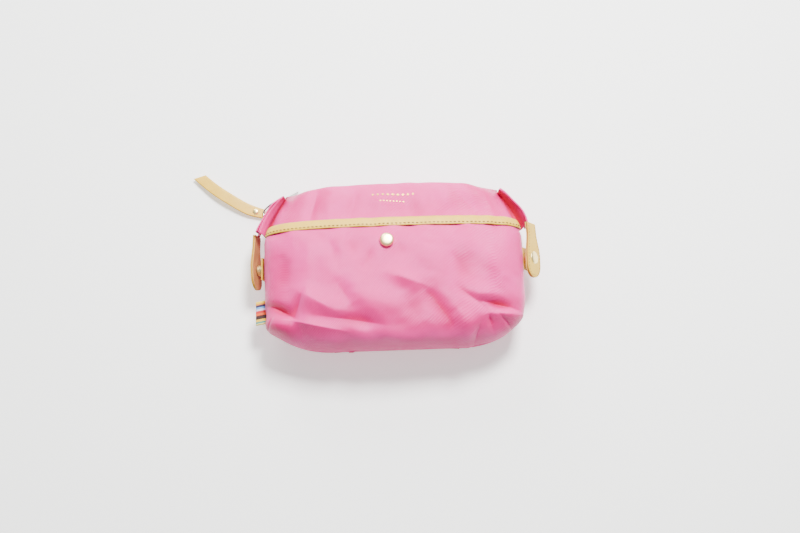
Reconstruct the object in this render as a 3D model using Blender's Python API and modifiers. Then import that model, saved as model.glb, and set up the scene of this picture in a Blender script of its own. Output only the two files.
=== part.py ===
"""Makeup bag lying on its back: a boxed fabric pouch with a bound front pocket and a top zip.

Frame: metres, +X across the bag, +Y from the base towards the zip, +Z up out of the front
panel. The origin is the centre of the flat stretch of the back panel, which rests on Z = 0.
"""
import math

import bmesh
import bpy
from mathutils import Matrix, Vector

MM = 0.001
GAP = 0.3 * MM                  # clearance between pieces that touch
LAYER = 0.9 * MM                # clearance between one cloth layer and the next

# Overall bag
HALF_WIDTH = 102.0 * MM         # widest half width, at the side seams
BASE_Y = -67.0 * MM             # base seam
ZIP_Y = 61.0 * MM               # plane of the closed zip
DEPTH = 58.0 * MM               # height of the front panel over the back panel
SEAM_Z = 26.0 * MM              # side and base seams, at mid depth
ZIP_Z = 20.0 * MM               # centre line of the zip
RIDGE_HALF = HALF_WIDTH - 16.0 * MM  # half length of the straight zip between the two ears
CORNER_X = 55.0 * MM            # width of the rounded base corner
CORNER_Y = 40.0 * MM            # height of the rounded base corner
SHOULDER_Y = 20.0 * MM          # where the sides begin to slant in towards the zip
REST_Y = (-50.0 * MM, 26.0 * MM)  # flat stretch of the back panel
FLAT_SHARE = 0.74               # flat share of the back panel's width
ZIP_FLAT_SHARE = 0.96           # the same beside the zip

# Cloth and leather
CLOTH = 1.0 * MM
LINING = 0.5 * MM
LEATHER = 1.3 * MM

# Mouth, pocket and binding
MOUTH_Y = 31.0 * MM             # fold line of the front lip
LIP_HALF = RIDGE_HALF - 14.0 * MM  # half width of the lip at the zip
LIP_TAPER = 4.0 * MM            # how much narrower the lip is at its fold line
POCKET_Y = (-44.0 * MM, 21.0 * MM)  # base and top of the pocket cloth
POCKET_HALF_ANGLE = 64.0        # degrees either side of the crown that the pocket covers
TRIM_HEIGHT = 8.0 * MM

# Zip
TAPE_WIDTH = 5.0 * MM
TAPE = 0.8 * MM
TOOTH_PITCH = 6.0 * MM
TOOTH_RISE = 1.4 * MM
TOOTH_DEPTH = 1.6 * MM
ROW_GAP = 1.4 * MM              # space between the two rows of teeth
SLIDER_LENGTH = 9.0 * MM
ZIP_END = 4.5 * MM              # from an end of the ridge to the first tooth
SLIDER_X = -(RIDGE_HALF - 10.0 * MM)
SLIDER_PLATE = 1.0 * MM

# Zip pull
TAB_END = Vector((-(RIDGE_HALF + 6.0 * MM), 64.0 * MM, 5.0 * MM))
RING_END = Vector((-(RIDGE_HALF + 17.0 * MM), 55.0 * MM, 4.6 * MM))
RING_WIRE = 0.8 * MM            # radius of the ring's wire
RING_HALF = 5.2 * MM            # half width of the ring
PULL_WIDTH = 9.0 * MM
PULL_LAYER = 1.2 * MM
PULL_REST = 0.9 * MM            # height of the pull over the surface it lies on
PULL_PATH = ((0.0, 0.0), (-16.0, 5.0), (-32.0, 14.5), (-45.0, 24.0), (-57.0, 35.0))

# Ears and end tabs
EAR_RADIUS = 60.0 * MM
EAR_LEAN = 36.0                 # degrees between the ridge and an ear where it leaves it
EAR_ARC = 36.0                  # degrees turned by an ear between ridge and tab
EAR_CLOTH = 2.2 * MM
EAR_LOW = 14.0 * MM
EAR_HIGH = 33.0 * MM
EAR_FOLD = 7.0 * MM             # height of each cloth fold beside the zip in an ear
TAB_WIDTH = 20.0 * MM
TAB_LENGTH = 45.0 * MM
TAB_NECK = 13.0 * MM
SNAP_TO_END = 16.0 * MM         # from the snap centre to the tab's round end
SNAP_Y = 2.0 * MM               # centre of the side snaps
SNAP_RADIUS = 5.6 * MM
PATCH_LENGTH = 18.0 * MM
PATCH_WIDTH = 11.0 * MM
PATCH = 1.4 * MM
SNAP_STACK = 4.2 * MM           # patch face to tab face when snapped
LEFT_SNAP = (Vector((-(HALF_WIDTH + 3.4 * MM), SNAP_Y, 21.0 * MM)), Vector((-0.97, 0.0, -0.243)))
RIGHT_SNAP = (Vector((HALF_WIDTH + 4.2 * MM, SNAP_Y, 29.0 * MM)), Vector((0.8, 0.0, 0.6)))
POCKET_SNAP = (-5.0 * MM, 13.0 * MM)

# Ribbon
RIBBON_Y = (-43.0 * MM, -24.0 * MM)
RIBBON_OUT = 9.0 * MM
RIBBON = 0.8 * MM

# Heights of the front profile
BASE_BULGE = 0.4375             # first point over the base seam: share from the seam to the front
LIP_HIGH = 0.75                 # lip, upper point: share from the zip to the fold line
LIP_LOW = 15.0 * MM             # lip, lower point: height over the zip

# Shape of the two shells' sections (exponents of their superellipses)
FRONT_SIDE = 0.72               # how square the front's sides are across
FRONT_CROWN = 0.62              # how square they are in height
CORNER_ROUND = 2.3              # roundness of the base corners
BACK_ROUND = 2.4                # roundness of the back's sides
SHOULDER_BEND = 1.3             # how late the shoulders slant in
CLOSE = 0.5 * MM                # smallest height kept where a shell closes on its seam

# Shares of the profiles kept free at the ends of the linings and under the lip
LIP_CLEAR = 0.012               # from the fold line to the lip
LIP_LINING = (0.02, 0.96)       # start of the lip's lining after the lip, and its end
BACK_LINING = (0.08, 0.92)
FRONT_LINING = (0.09, 0.01)     # start, and how far it ends before the fold line
BINDING_CLEAR = 0.008           # from the pocket cloth to its binding
LINING_ANGLE = 6.0              # degrees kept free at each side of a lining
LIP_LINING_ANGLE = 4.0

# Press studs
NUB_RADIUS = 1.8 * MM
NUB_BEVEL = 0.3 * MM
STUD_FOOT = 0.7 * MM            # height of the stud's wide foot
STUD_HEIGHT = 2.3 * MM
SOCKET_CLEAR = 1.0 * MM         # between the nub and the socket's hole
POST_HEIGHT = 0.6 * MM          # back plate of the pocket's press stud
SMALL_SNAP = 0.8 * SNAP_RADIUS  # radius of the studs, the sockets and the back plate
RIVET_RADIUS = 1.9 * MM
RIVET_SHARE = 0.1               # place of the rivet along the pull

# Small zip parts
SPINE = 0.8 * MM                # band of cloth-side coil that joins a row's teeth
BRIDGE_WIRE = 0.6 * MM
BRIDGE_HALF = 3.2 * MM
BRIDGE_RISE = 2.0 * MM
METAL_TAB_HALF = 2.6 * MM
METAL_TAB = 1.0 * MM
SLANT_SHARE = 0.9               # where the pull's slanted end starts

INSIDE = Vector((0.0, 0.0, SEAM_Z))  # a point in the middle of the bag


def catmull(points, share):
    """Point at a share of the way along a smooth curve through the given points."""
    spans = len(points) - 1
    place = min(max(share, 0.0), 1.0) * spans
    index = min(int(place), spans - 1)
    t = place - index
    before = points[max(index - 1, 0)]
    start, end = points[index], points[index + 1]
    after = points[min(index + 2, spans)]
    return tuple(
        0.5 * (2 * b + (c - a) * t + (2 * a - 5 * b + 4 * c - d) * t ** 2
               + (3 * b - a - 3 * c + d) * t ** 3)
        for a, b, c, d in zip(before, start, end, after))


def front_profile():
    """Crown line of the front panel, (y, z), from the base seam to the zip tape."""
    fold = DEPTH - 6.0 * MM
    return (
        (BASE_Y, SEAM_Z),
        (BASE_Y + 1.5 * MM, SEAM_Z + BASE_BULGE * (DEPTH - SEAM_Z)),
        (BASE_Y + 7.0 * MM, DEPTH - 8.0 * MM),
        (BASE_Y + 20.0 * MM, DEPTH - 2.0 * MM),
        (BASE_Y + 45.0 * MM, DEPTH),
        (MOUTH_Y - 20.0 * MM, DEPTH - 1.0 * MM),
        (MOUTH_Y, fold),
        (ZIP_Y - 10.0 * MM, ZIP_Z + LIP_HIGH * (fold - ZIP_Z)),
        (ZIP_Y + 0.5 * MM, ZIP_Z + LIP_LOW),
        (ZIP_Y + 0.5 * TAPE + CLOTH, ZIP_Z + TAPE_WIDTH + ROW_GAP),
    )


def back_profile():
    """Crown line of the back panel, (y, z), from the base seam to the zip tape."""
    return (
        (BASE_Y, SEAM_Z),
        (BASE_Y + 1.5 * MM, SEAM_Z - 14.0 * MM),
        (BASE_Y + 7.0 * MM, 2.5 * MM),
        (REST_Y[0], 0.0),
        (-20.0 * MM, 0.0),
        (5.0 * MM, 0.0),
        (REST_Y[1], 0.0),
        (ZIP_Y - 16.0 * MM, ZIP_Z - 14.0 * MM),
        (ZIP_Y - 3.0 * MM, ZIP_Z - TAPE_WIDTH - 5.0 * MM),
        (ZIP_Y + 0.5 * TAPE + CLOTH, ZIP_Z - TAPE_WIDTH - ROW_GAP - 1.0 * MM),
    )


def half_width(y):
    """Half width of the bag at a height y: round base corners and slanted shoulders."""
    fall = min(max((BASE_Y + CORNER_Y - y) / CORNER_Y, 0.0), 1.0)
    corner = CORNER_X * (1.0 - (1.0 - fall ** CORNER_ROUND) ** (1.0 / CORNER_ROUND))
    rise = min(max((y - SHOULDER_Y) / (ZIP_Y - SHOULDER_Y), 0.0), 1.0)
    return HALF_WIDTH - corner - (HALF_WIDTH - RIDGE_HALF) * rise ** SHOULDER_BEND


def seam_height(y):
    """Height of the side seam: mid depth, easing to the zip's height at the top."""
    rise = min(max((y - SHOULDER_Y) / (ZIP_Y - SHOULDER_Y), 0.0), 1.0)
    return SEAM_Z + (ZIP_Z - SEAM_Z) * rise * rise * (3.0 - 2.0 * rise)


def front_point(angle, share):
    """Point of the front shell: angle 0 is the right seam, 180 the left, 90 the crown."""
    y, crown = catmull(front_profile(), share)
    seam = seam_height(y) + GAP
    cosine = math.cos(math.radians(angle))
    sine = max(math.sin(math.radians(angle)), 0.0)
    x = half_width(y) * math.copysign(abs(cosine) ** FRONT_SIDE, cosine)
    return Vector((x, y, seam + max(crown - seam, CLOSE) * sine ** FRONT_CROWN))


def back_point(angle, share):
    """Point of the back shell, flat across its middle so that it rests on Z = 0."""
    y, crown = catmull(back_profile(), share)
    crown = max(crown, 0.0)
    seam = seam_height(y) - GAP
    cosine = math.cos(math.radians(angle))
    x = half_width(y) * cosine
    rise = min(max((y - SHOULDER_Y) / (ZIP_Y - SHOULDER_Y), 0.0), 1.0)
    flat = FLAT_SHARE + (ZIP_FLAT_SHARE - FLAT_SHARE) * rise
    side = max((abs(cosine) - flat) / (1.0 - flat), 0.0)
    round_off = max(1.0 - side ** BACK_ROUND, 0.0) ** (1.0 / BACK_ROUND)
    return Vector((x, y, seam - max(seam - crown, CLOSE) * round_off))


def share_at(profile, y):
    """Share of the way along a profile at which it reaches the height y."""
    low, high = 0.0, 1.0
    for _ in range(40):
        middle = 0.5 * (low + high)
        if catmull(profile, middle)[0] < y:
            low = middle
        else:
            high = middle
    return 0.5 * (low + high)


def normal_at(point, angle, share):
    """Outward normal of a shell, from its two tangents and the middle of the bag."""
    step = 1e-3
    across = point(angle + 50 * step, share) - point(angle - 50 * step, share)
    low, high = max(share - step, 0.0), min(share + step, 1.0)
    along = point(angle, high) - point(angle, low)
    normal = along.cross(across).normalized()
    return normal if normal.dot(point(angle, share) - INSIDE) > 0.0 else -normal


def material(name, colour, roughness, metallic):
    """Principled material with a base colour, a roughness and a metallic value."""
    made = bpy.data.materials.new(name)
    made.use_nodes = True
    shader = made.node_tree.nodes["Principled BSDF"]
    shader.inputs["Base Color"].default_value = (*colour, 1.0)
    shader.inputs["Roughness"].default_value = roughness
    shader.inputs["Metallic"].default_value = metallic
    made.diffuse_color = (*colour, 1.0)
    return made


def add_object(kit, name, mesh, slot):
    """Put a mesh into the bag's collection as a named object with its material."""
    made = bpy.data.objects.new(name, mesh)
    kit["parts"].objects.link(made)
    made.data.materials.append(kit[slot])
    return made


def grid_mesh(name, rows, inside=INSIDE):
    """Open surface through rows of points, facing away from a point inside."""
    mesh = bpy.data.meshes.new(name)
    body = bmesh.new()
    grid = [[body.verts.new(point) for point in row] for row in rows]
    for upper, lower in zip(grid, grid[1:]):
        for k in range(len(upper) - 1):
            body.faces.new((upper[k], upper[k + 1], lower[k + 1], lower[k]))
    body.normal_update()
    if sum(face.normal.dot(face.calc_center_median() - inside) for face in body.faces) < 0.0:
        bmesh.ops.reverse_faces(body, faces=body.faces)
    body.to_mesh(mesh)
    body.free()
    mesh.shade_smooth()
    return mesh


def thicken(made, thickness):
    """Give an open surface a thickness behind its outer face."""
    solid = made.modifiers.new("thickness", "SOLIDIFY")
    solid.thickness = thickness
    solid.offset = -1.0
    solid.use_even_offset = False
    return made


def patch_rows(point, angles, shares, depth, columns, rows):
    """Rows of points over a patch of a shell, sunk below its outer face by depth.

    angles is a function of the share that gives the patch's two side angles.
    """
    grid = []
    for j in range(rows + 1):
        share = shares[0] + (shares[1] - shares[0]) * j / rows
        low, high = angles(share)
        line = []
        for i in range(columns + 1):
            angle = low + (high - low) * i / columns
            place = point(angle, share)
            line.append(place - normal_at(point, angle, share) * depth)
        grid.append(line)
    return grid


def shell(kit, name, slot, surface):
    """Cloth patch of a shell; surface holds its shape, limits, depth, thickness and grid."""
    rows = patch_rows(surface["point"], surface["angles"], surface["shares"], surface["depth"],
                      *surface["grid"])
    made = add_object(kit, name, grid_mesh(name, rows), slot)
    return thicken(made, surface["thickness"])


def turned(kit, name, slot, profile, place, normal):
    """Round piece turned about a normal: profile is (radius, height) from its top down.

    A profile that starts away from the axis is a closed loop, and turns into a ring.
    """
    mesh = bpy.data.meshes.new(name)
    body = bmesh.new()
    line = [body.verts.new((radius, 0.0, height)) for radius, height in profile]
    for first, second in zip(line, line[1:]):
        body.edges.new((first, second))
    if profile[0][0] > 0.0:
        body.edges.new((line[-1], line[0]))
    body.to_mesh(mesh)
    body.free()
    made = add_object(kit, name, mesh, slot)
    screw = made.modifiers.new("turn", "SCREW")
    screw.steps = 14
    screw.render_steps = 14
    screw.use_merge_vertices = True
    screw.merge_threshold = 0.00001
    screw.use_smooth_shade = True
    up = Vector((0.0, 0.0, 1.0)).rotation_difference(normal.normalized())
    made.matrix_world = Matrix.Translation(place) @ up.to_matrix().to_4x4()
    return made


def outline_plate(kit, name, slot, outline, thickness, frame):
    """Flat plate from a closed outline, its lower face on the frame's XY plane."""
    mesh = bpy.data.meshes.new(name)
    body = bmesh.new()
    face = body.faces.new([body.verts.new((x, y, 0.0)) for x, y in outline])
    if face.normal.z < 0.0:
        face.normal_flip()
    extruded = bmesh.ops.extrude_face_region(body, geom=[face])
    raised = [item for item in extruded["geom"] if isinstance(item, bmesh.types.BMVert)]
    bmesh.ops.translate(body, vec=(0.0, 0.0, thickness), verts=raised)
    bmesh.ops.recalc_face_normals(body, faces=body.faces)
    body.to_mesh(mesh)
    body.free()
    made = add_object(kit, name, mesh, slot)
    made.matrix_world = frame
    return made


def box(kit, name, slot, low, high):
    """Axis-aligned block between two corners."""
    mesh = bpy.data.meshes.new(name)
    body = bmesh.new()
    bmesh.ops.create_cube(body, size=1.0)
    size = [b - a for a, b in zip(low, high)]
    bmesh.ops.scale(body, vec=size, verts=body.verts)
    middle = [(a + b) / 2 for a, b in zip(low, high)]
    bmesh.ops.translate(body, vec=middle, verts=body.verts)
    body.to_mesh(mesh)
    body.free()
    return add_object(kit, name, mesh, slot)


def lip_edge(share):
    """Side angles of the front lip at a share of the front profile."""
    y, _ = catmull(front_profile(), share)
    rise = (y - MOUTH_Y) / (ZIP_Y - MOUTH_Y)
    half = LIP_HALF - LIP_TAPER * (1.0 - min(max(rise, 0.0), 1.0))
    side = math.degrees(math.acos((half / half_width(y)) ** (1.0 / FRONT_SIDE)))
    return side, 180.0 - side


def lip_gap(share):
    """Angle that a clearance takes up on the front shell."""
    return math.degrees(3.0 * GAP / half_width(catmull(front_profile(), share)[0]))


def panels(kit):
    """Back panel, front panel, front lip and the two gusset folds, with their linings."""
    front, back = front_profile(), back_profile()
    mouth = share_at(front, MOUTH_Y)
    lip = mouth + LIP_CLEAR
    whole = {"point": back_point, "angles": lambda share: (180.0, 0.0), "shares": (0.0, 1.0)}
    shell(kit, "back_panel", "cloth",
          {**whole, "depth": 0.0, "thickness": CLOTH, "grid": (20, 20)})
    inner = {"depth": CLOTH + LAYER, "thickness": LINING}
    shell(kit, "back_lining", "lining",
          {**whole, **inner, "shares": BACK_LINING, "grid": (12, 10),
           "angles": lambda share: (180.0 - LINING_ANGLE, LINING_ANGLE)})
    lower = {"point": front_point, "angles": lambda share: (0.0, 180.0), "shares": (0.0, mouth)}
    shell(kit, "front_panel", "cloth",
          {**lower, "depth": 0.0, "thickness": CLOTH, "grid": (20, 13)})
    shell(kit, "front_lining", "lining",
          {**lower, **inner, "shares": (FRONT_LINING[0], mouth - FRONT_LINING[1]), "grid": (12, 8),
           "angles": lambda share: (LINING_ANGLE, 180.0 - LINING_ANGLE)})
    upper = {"point": front_point, "shares": (lip, 1.0), "depth": 0.0, "thickness": CLOTH}
    shell(kit, "front_lip", "cloth", {**upper, "angles": lip_edge, "grid": (14, 7)})
    shell(kit, "lip_lining", "lining",
          {**upper, **inner, "shares": (lip + LIP_LINING[0], LIP_LINING[1]), "grid": (10, 5),
           "angles": lambda share: (lip_edge(share)[0] + LIP_LINING_ANGLE,
                                    lip_edge(share)[1] - LIP_LINING_ANGLE)})
    shell(kit, "right_gusset_fold", "cloth",
          {**upper, "angles": lambda share: (0.0, lip_edge(share)[0] - lip_gap(share)),
           "grid": (5, 7)})
    shell(kit, "left_gusset_fold", "cloth",
          {**upper, "angles": lambda share: (lip_edge(share)[1] + lip_gap(share), 180.0),
           "grid": (5, 7)})


def pocket(kit):
    """Front pocket: cloth, its lining, the leather binding and the press stud."""
    front = front_profile()
    low, high = (share_at(front, y) for y in POCKET_Y)
    top = share_at(front, POCKET_Y[1] + TRIM_HEIGHT)
    half = POCKET_HALF_ANGLE
    over = {"point": front_point, "angles": lambda share: (90.0 - half, 90.0 + half)}
    lining_depth = -(LAYER + LINING)
    cloth_depth = lining_depth - LAYER - CLOTH
    shell(kit, "pocket_lining", "lining",
          {**over, "shares": (low, high), "depth": lining_depth, "thickness": LINING,
           "grid": (12, 8)})
    shell(kit, "pocket_panel", "cloth",
          {**over, "shares": (low, high), "depth": cloth_depth, "thickness": CLOTH,
           "grid": (16, 9)})
    binding = -cloth_depth
    shell(kit, "pocket_binding", "leather",
          {**over, "shares": (high + BINDING_CLEAR, top), "depth": -binding, "grid": (16, 2),
           "thickness": binding - GAP})
    share = share_at(front, POCKET_SNAP[1])
    _, crown = catmull(front, share)
    angle = 90.0 + math.degrees(math.asin((-POCKET_SNAP[0] / HALF_WIDTH) ** (1.0 / FRONT_SIDE)))
    place = front_point(angle, share)
    normal = normal_at(front_point, angle, share)
    face = place + normal * (-cloth_depth + GAP)
    turned(kit, "pocket_snap_cap", "gold", cap_profile(SNAP_RADIUS), face, normal)
    turned(kit, "pocket_snap_post", "gold", disc_profile(SMALL_SNAP, POST_HEIGHT),
           place - normal * (CLOTH + LINING + 2 * LAYER + POST_HEIGHT), normal)


def cap_profile(radius):
    """Domed cap, from its crown to its flat back."""
    dome = [(radius * math.sin(math.radians(a)), radius * 0.38 * math.cos(math.radians(a)))
            for a in range(0, 91, 30)]
    return [(0.0, dome[0][1] + 0.2 * MM)] + [(r, h + 0.2 * MM) for r, h in dome[1:]] + [
        (radius, 0.0), (0.0, 0.0)]


def disc_profile(radius, height):
    """Plain disc."""
    return [(0.0, height), (radius, height), (radius, 0.0), (0.0, 0.0)]


def stud_profile(radius, height):
    """Stud: a wide foot with a short nub."""
    return [(0.0, height), (NUB_RADIUS * 0.9, height), (NUB_RADIUS, height - NUB_BEVEL),
            (NUB_RADIUS, STUD_FOOT), (radius, STUD_FOOT), (radius, 0.0), (0.0, 0.0)]


def socket_profile(radius, height):
    """Socket: a ring whose hole clears the stud's nub."""
    hole = NUB_RADIUS + SOCKET_CLEAR
    return [(hole, height), (radius, height), (radius, 0.0), (hole, 0.0)]


def zip_row(kit, name, side, span):
    """One row of zip teeth along X: a spine with a tooth at every pitch, as one outline."""
    low, high = span
    base = 0.5 * ROW_GAP + TOOTH_RISE
    spine = base + SPINE
    count = int((high - low) / TOOTH_PITCH)
    outline = [(low, spine), (low, base)]
    for k in range(count):
        start = low + (k + 0.25) * TOOTH_PITCH
        outline += [(start, base), (start, 0.5 * ROW_GAP),
                    (start + 0.5 * TOOTH_PITCH, 0.5 * ROW_GAP), (start + 0.5 * TOOTH_PITCH, base)]
    outline += [(high, base), (high, spine)]
    frame = Matrix(((1, 0, 0, 0), (0, 0, -side, ZIP_Y + side * 0.5 * TOOTH_DEPTH),
                    (0, side, 0, ZIP_Z), (0, 0, 0, 1)))
    return outline_plate(kit, name, "teeth", outline, TOOTH_DEPTH, frame)


def zip_tape(kit, name, side, span):
    """Flat tape beside a row of teeth."""
    near = 0.5 * ROW_GAP + TOOTH_RISE + SPINE + GAP
    far = TAPE_WIDTH + ROW_GAP - 2 * GAP
    heights = sorted((ZIP_Z + side * near, ZIP_Z + side * far))
    y = ZIP_Y - 0.5 * TAPE
    return box(kit, name, "tape", (span[0], y, heights[0]), (span[1], y + TAPE, heights[1]))


def zip_parts(kit):
    """Both tapes and tooth rows, the short zip ends beside the lip, and the end stops."""
    full = (-RIDGE_HALF + ZIP_END, RIDGE_HALF - ZIP_END)
    lip = (-LIP_HALF + 1.0 * MM, LIP_HALF - 1.0 * MM)
    zip_row(kit, "back_teeth", -1, full)
    zip_tape(kit, "back_tape", -1, full)
    zip_row(kit, "front_teeth", 1, lip)
    zip_tape(kit, "front_tape", 1, lip)
    zip_row(kit, "left_end_teeth", 1, (full[0], lip[0] - 2 * GAP))
    zip_row(kit, "right_end_teeth", 1, (lip[1] + 2 * GAP, full[1]))
    zip_tape(kit, "left_end_tape", 1, (full[0], lip[0] - 2 * GAP))
    zip_tape(kit, "right_end_tape", 1, (lip[1] + 2 * GAP, full[1]))


def slider(kit):
    """Zip slider: outer and inner plates joined by a thin post between the rows of teeth."""
    half = 0.5 * SLIDER_LENGTH
    reach = 0.5 * TOOTH_DEPTH + GAP
    height = 0.5 * ROW_GAP + TOOTH_RISE + 0.4 * MM
    post = 0.5 * ROW_GAP - GAP
    outer, inner = ZIP_Y + reach, ZIP_Y - reach
    outline = [(-height, outer), (-post, outer), (-post, inner), (-height, inner),
               (-height, inner - SLIDER_PLATE), (height, inner - SLIDER_PLATE), (height, inner),
               (post, inner), (post, outer), (height, outer), (height, outer + SLIDER_PLATE),
               (-height, outer + SLIDER_PLATE)]
    frame = Matrix(((0, 0, 1, SLIDER_X - half), (0, 1, 0, 0), (1, 0, 0, ZIP_Z), (0, 0, 0, 1)))
    outline_plate(kit, "slider_body", "metal", outline, SLIDER_LENGTH, frame)
    face, z = outer + SLIDER_PLATE + GAP, ZIP_Z - 1.0 * MM
    low, high = face + BRIDGE_WIRE, face + BRIDGE_RISE
    corner = BRIDGE_HALF - BRIDGE_WIRE
    wire(kit, "slider_bridge", "metal", BRIDGE_WIRE,
         [(SLIDER_X - BRIDGE_HALF, low, z), (SLIDER_X - corner, high, z),
          (SLIDER_X + corner, high, z), (SLIDER_X + BRIDGE_HALF, low, z)])


def wire(kit, name, slot, radius, points, cyclic=False):
    """Round wire along a list of points, turned into a welded mesh."""
    curve = bpy.data.curves.new(name + "_path", "CURVE")
    curve.dimensions = "3D"
    curve.bevel_depth = radius
    curve.bevel_resolution = 2
    curve.use_fill_caps = True
    spline = curve.splines.new("POLY")
    spline.points.add(len(points) - 1)
    for target, place in zip(spline.points, points):
        target.co = (*place, 1.0)
    spline.use_cyclic_u = cyclic
    guide = bpy.data.objects.new(name + "_path", curve)
    kit["parts"].objects.link(guide)
    bpy.context.view_layer.update()
    mesh = bpy.data.meshes.new_from_object(guide.evaluated_get(bpy.context.evaluated_depsgraph_get()))
    bpy.data.objects.remove(guide)
    body = bmesh.new()
    body.from_mesh(mesh)
    bmesh.ops.remove_doubles(body, verts=body.verts, dist=1e-6)
    bmesh.ops.recalc_face_normals(body, faces=body.faces)
    body.to_mesh(mesh)
    body.free()
    mesh.materials.clear()
    mesh.shade_smooth()
    return add_object(kit, name, mesh, slot)


def frame_along(origin, along, up):
    """Frame whose X runs along a direction and whose Z is nearest to up."""
    x = along.normalized()
    y = up.cross(x).normalized()
    z = x.cross(y)
    return Matrix.Translation(origin) @ Matrix((x, y, z)).transposed().to_4x4()


def zip_pull(kit):
    """Metal tab from the slider to the ring, the wire ring and the two-layer leather pull."""
    start = Vector((SLIDER_X - 1.5 * MM, ZIP_Y + 6.2 * MM, ZIP_Z - 4.0 * MM))
    along = TAB_END - start
    length = along.length
    half = METAL_TAB_HALF
    outline = [(0.0, -half), (length, -half * 0.8), (length, half * 0.8), (0.0, half)]
    outline_plate(kit, "metal_tab", "metal", outline, METAL_TAB,
                  frame_along(start, along, Vector((0.0, 0.6, 0.8))))
    away = (RING_END - TAB_END).normalized()
    side = away.cross(Vector((0.0, 0.0, 1.0))).normalized()
    centre = TAB_END + away * (RING_HALF + 2.0 * MM)
    loop = [centre + away * (RING_HALF * math.cos(a)) + side * (RING_HALF * 1.05 * math.sin(a))
            for a in (2 * math.pi * k / 20 for k in range(20))]
    wire(kit, "pull_ring", "metal", RING_WIRE, [tuple(p) for p in loop], cyclic=True)
    leather_pull(kit, centre + away * (RING_HALF + RING_WIRE + 2.0 * MM))


def leather_pull(kit, start):
    """Two leather layers one over the other along the pull's curve, and the rivet."""
    points = [tuple(v * MM for v in point) for point in PULL_PATH]
    steps = 16
    for name, height in (("pull_leather_back", PULL_REST),
                         ("pull_leather_front", PULL_REST + PULL_LAYER + GAP)):
        rows = []
        for k in range(steps + 1):
            share = k / steps
            x, y = catmull(points, share)
            ahead = catmull(points, min(share + 0.01, 1.0))
            behind = catmull(points, max(share - 0.01, 0.0))
            along = Vector((ahead[0] - behind[0], ahead[1] - behind[1], 0.0)).normalized()
            side = Vector((along.y, -along.x, 0.0)) * 0.5 * PULL_WIDTH
            slanted = max(share - SLANT_SHARE, 0.0) / (1.0 - SLANT_SHARE)
            slant = along * 0.35 * PULL_WIDTH * slanted
            middle = Vector((start.x + x, start.y + y, height + PULL_LAYER))
            rows.append([middle + side - slant, middle, middle - side + slant])
        below = Vector((start.x, start.y, -1.0))
        thicken(add_object(kit, name, grid_mesh(name, rows, below), "leather"), PULL_LAYER)
    x, y = catmull(points, RIVET_SHARE)
    top = PULL_REST + 2 * PULL_LAYER + 2 * GAP
    turned(kit, "pull_rivet", "gold", cap_profile(RIVET_RADIUS),
           Vector((start.x + x, start.y + y, top)), Vector((0.0, 0.0, 1.0)))


def ear_point(side, angle, offset):
    """Point of an ear's arc in plan, offset outwards from its centre line."""
    lean = math.radians(EAR_LEAN)
    turn = lean + math.radians(angle)
    start = Vector((RIDGE_HALF + 2.4 * MM, ZIP_Y + 1.0 * MM))
    centre = start - Vector((math.sin(lean), math.cos(lean))) * EAR_RADIUS
    place = centre + Vector((math.sin(turn), math.cos(turn))) * (EAR_RADIUS + offset)
    return side * place.x, place.y


def ears(kit, side, word):
    """Folded zip end: front and back cloth folds with the zip tape between them."""
    steps = 10
    folds = (
        ("ear_front_fold", "cloth", EAR_HIGH - EAR_FOLD, EAR_HIGH, 0.0, EAR_CLOTH),
        ("ear_zip_tape", "tape", EAR_LOW + EAR_FOLD * 0.8, EAR_HIGH - EAR_FOLD - GAP, -0.8 * MM, TAPE),
        ("ear_back_fold", "cloth", EAR_LOW, EAR_LOW + EAR_FOLD * 0.8 - GAP, 0.0, EAR_CLOTH),
    )
    for name, slot, low, high, offset, thickness in folds:
        rows = []
        for k in range(steps + 1):
            x, y = ear_point(side, EAR_ARC * k / steps, offset)
            rows.append([Vector((x, y, low)), Vector((x, y, high))])
        made = add_object(kit, f"{word}_{name}", grid_mesh(name, rows), slot)
        thicken(made, thickness)


def tab_outline(length, inset=0.0):
    """Tab outline: a narrow neck that widens to a round end, along +X from its neck."""
    half = 0.5 * TAB_WIDTH - inset
    neck = 0.5 * TAB_NECK - inset
    bend = length - half
    outline = [(0.0, -neck), (0.35 * length, -neck)]
    outline += [(bend + half * math.sin(math.radians(a)), -half * math.cos(math.radians(a)))
                for a in range(0, 181, 15)]
    return outline + [(0.35 * length, neck), (0.0, neck)]


def side_tab(kit, word, place, normal):
    """Leather patch and stud on the bag's side, and the tab that snaps over it."""
    normal = normal.normalized()
    down = Vector((0.0, -1.0, 0.0))
    patch = [(-0.5 * PATCH_LENGTH, -0.5 * PATCH_WIDTH), (0.5 * PATCH_LENGTH, -0.5 * PATCH_WIDTH),
             (0.5 * PATCH_LENGTH, 0.5 * PATCH_WIDTH), (-0.5 * PATCH_LENGTH, 0.5 * PATCH_WIDTH)]
    outline_plate(kit, f"{word}_stud_patch", "leather", patch, PATCH,
                  frame_along(place - normal * PATCH, down, normal))
    turned(kit, f"{word}_stud", "gold", stud_profile(SMALL_SNAP, STUD_HEIGHT),
           place + normal * GAP, normal)
    foot = STUD_FOOT + 2 * GAP
    turned(kit, f"{word}_socket", "gold", socket_profile(SMALL_SNAP, SNAP_STACK - foot - GAP),
           place + normal * foot, normal)
    start = place - down * (TAB_LENGTH - SNAP_TO_END)
    for name, height in (("tab_inner", SNAP_STACK), ("tab_outer", SNAP_STACK + LEATHER + GAP)):
        outline_plate(kit, f"{word}_{name}", "leather", tab_outline(TAB_LENGTH), LEATHER,
                      frame_along(start + normal * height, down, normal))
    turned(kit, f"{word}_snap_cap", "gold", cap_profile(SNAP_RADIUS),
           place + normal * (SNAP_STACK + 2 * LEATHER + 2 * GAP), normal)


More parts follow.
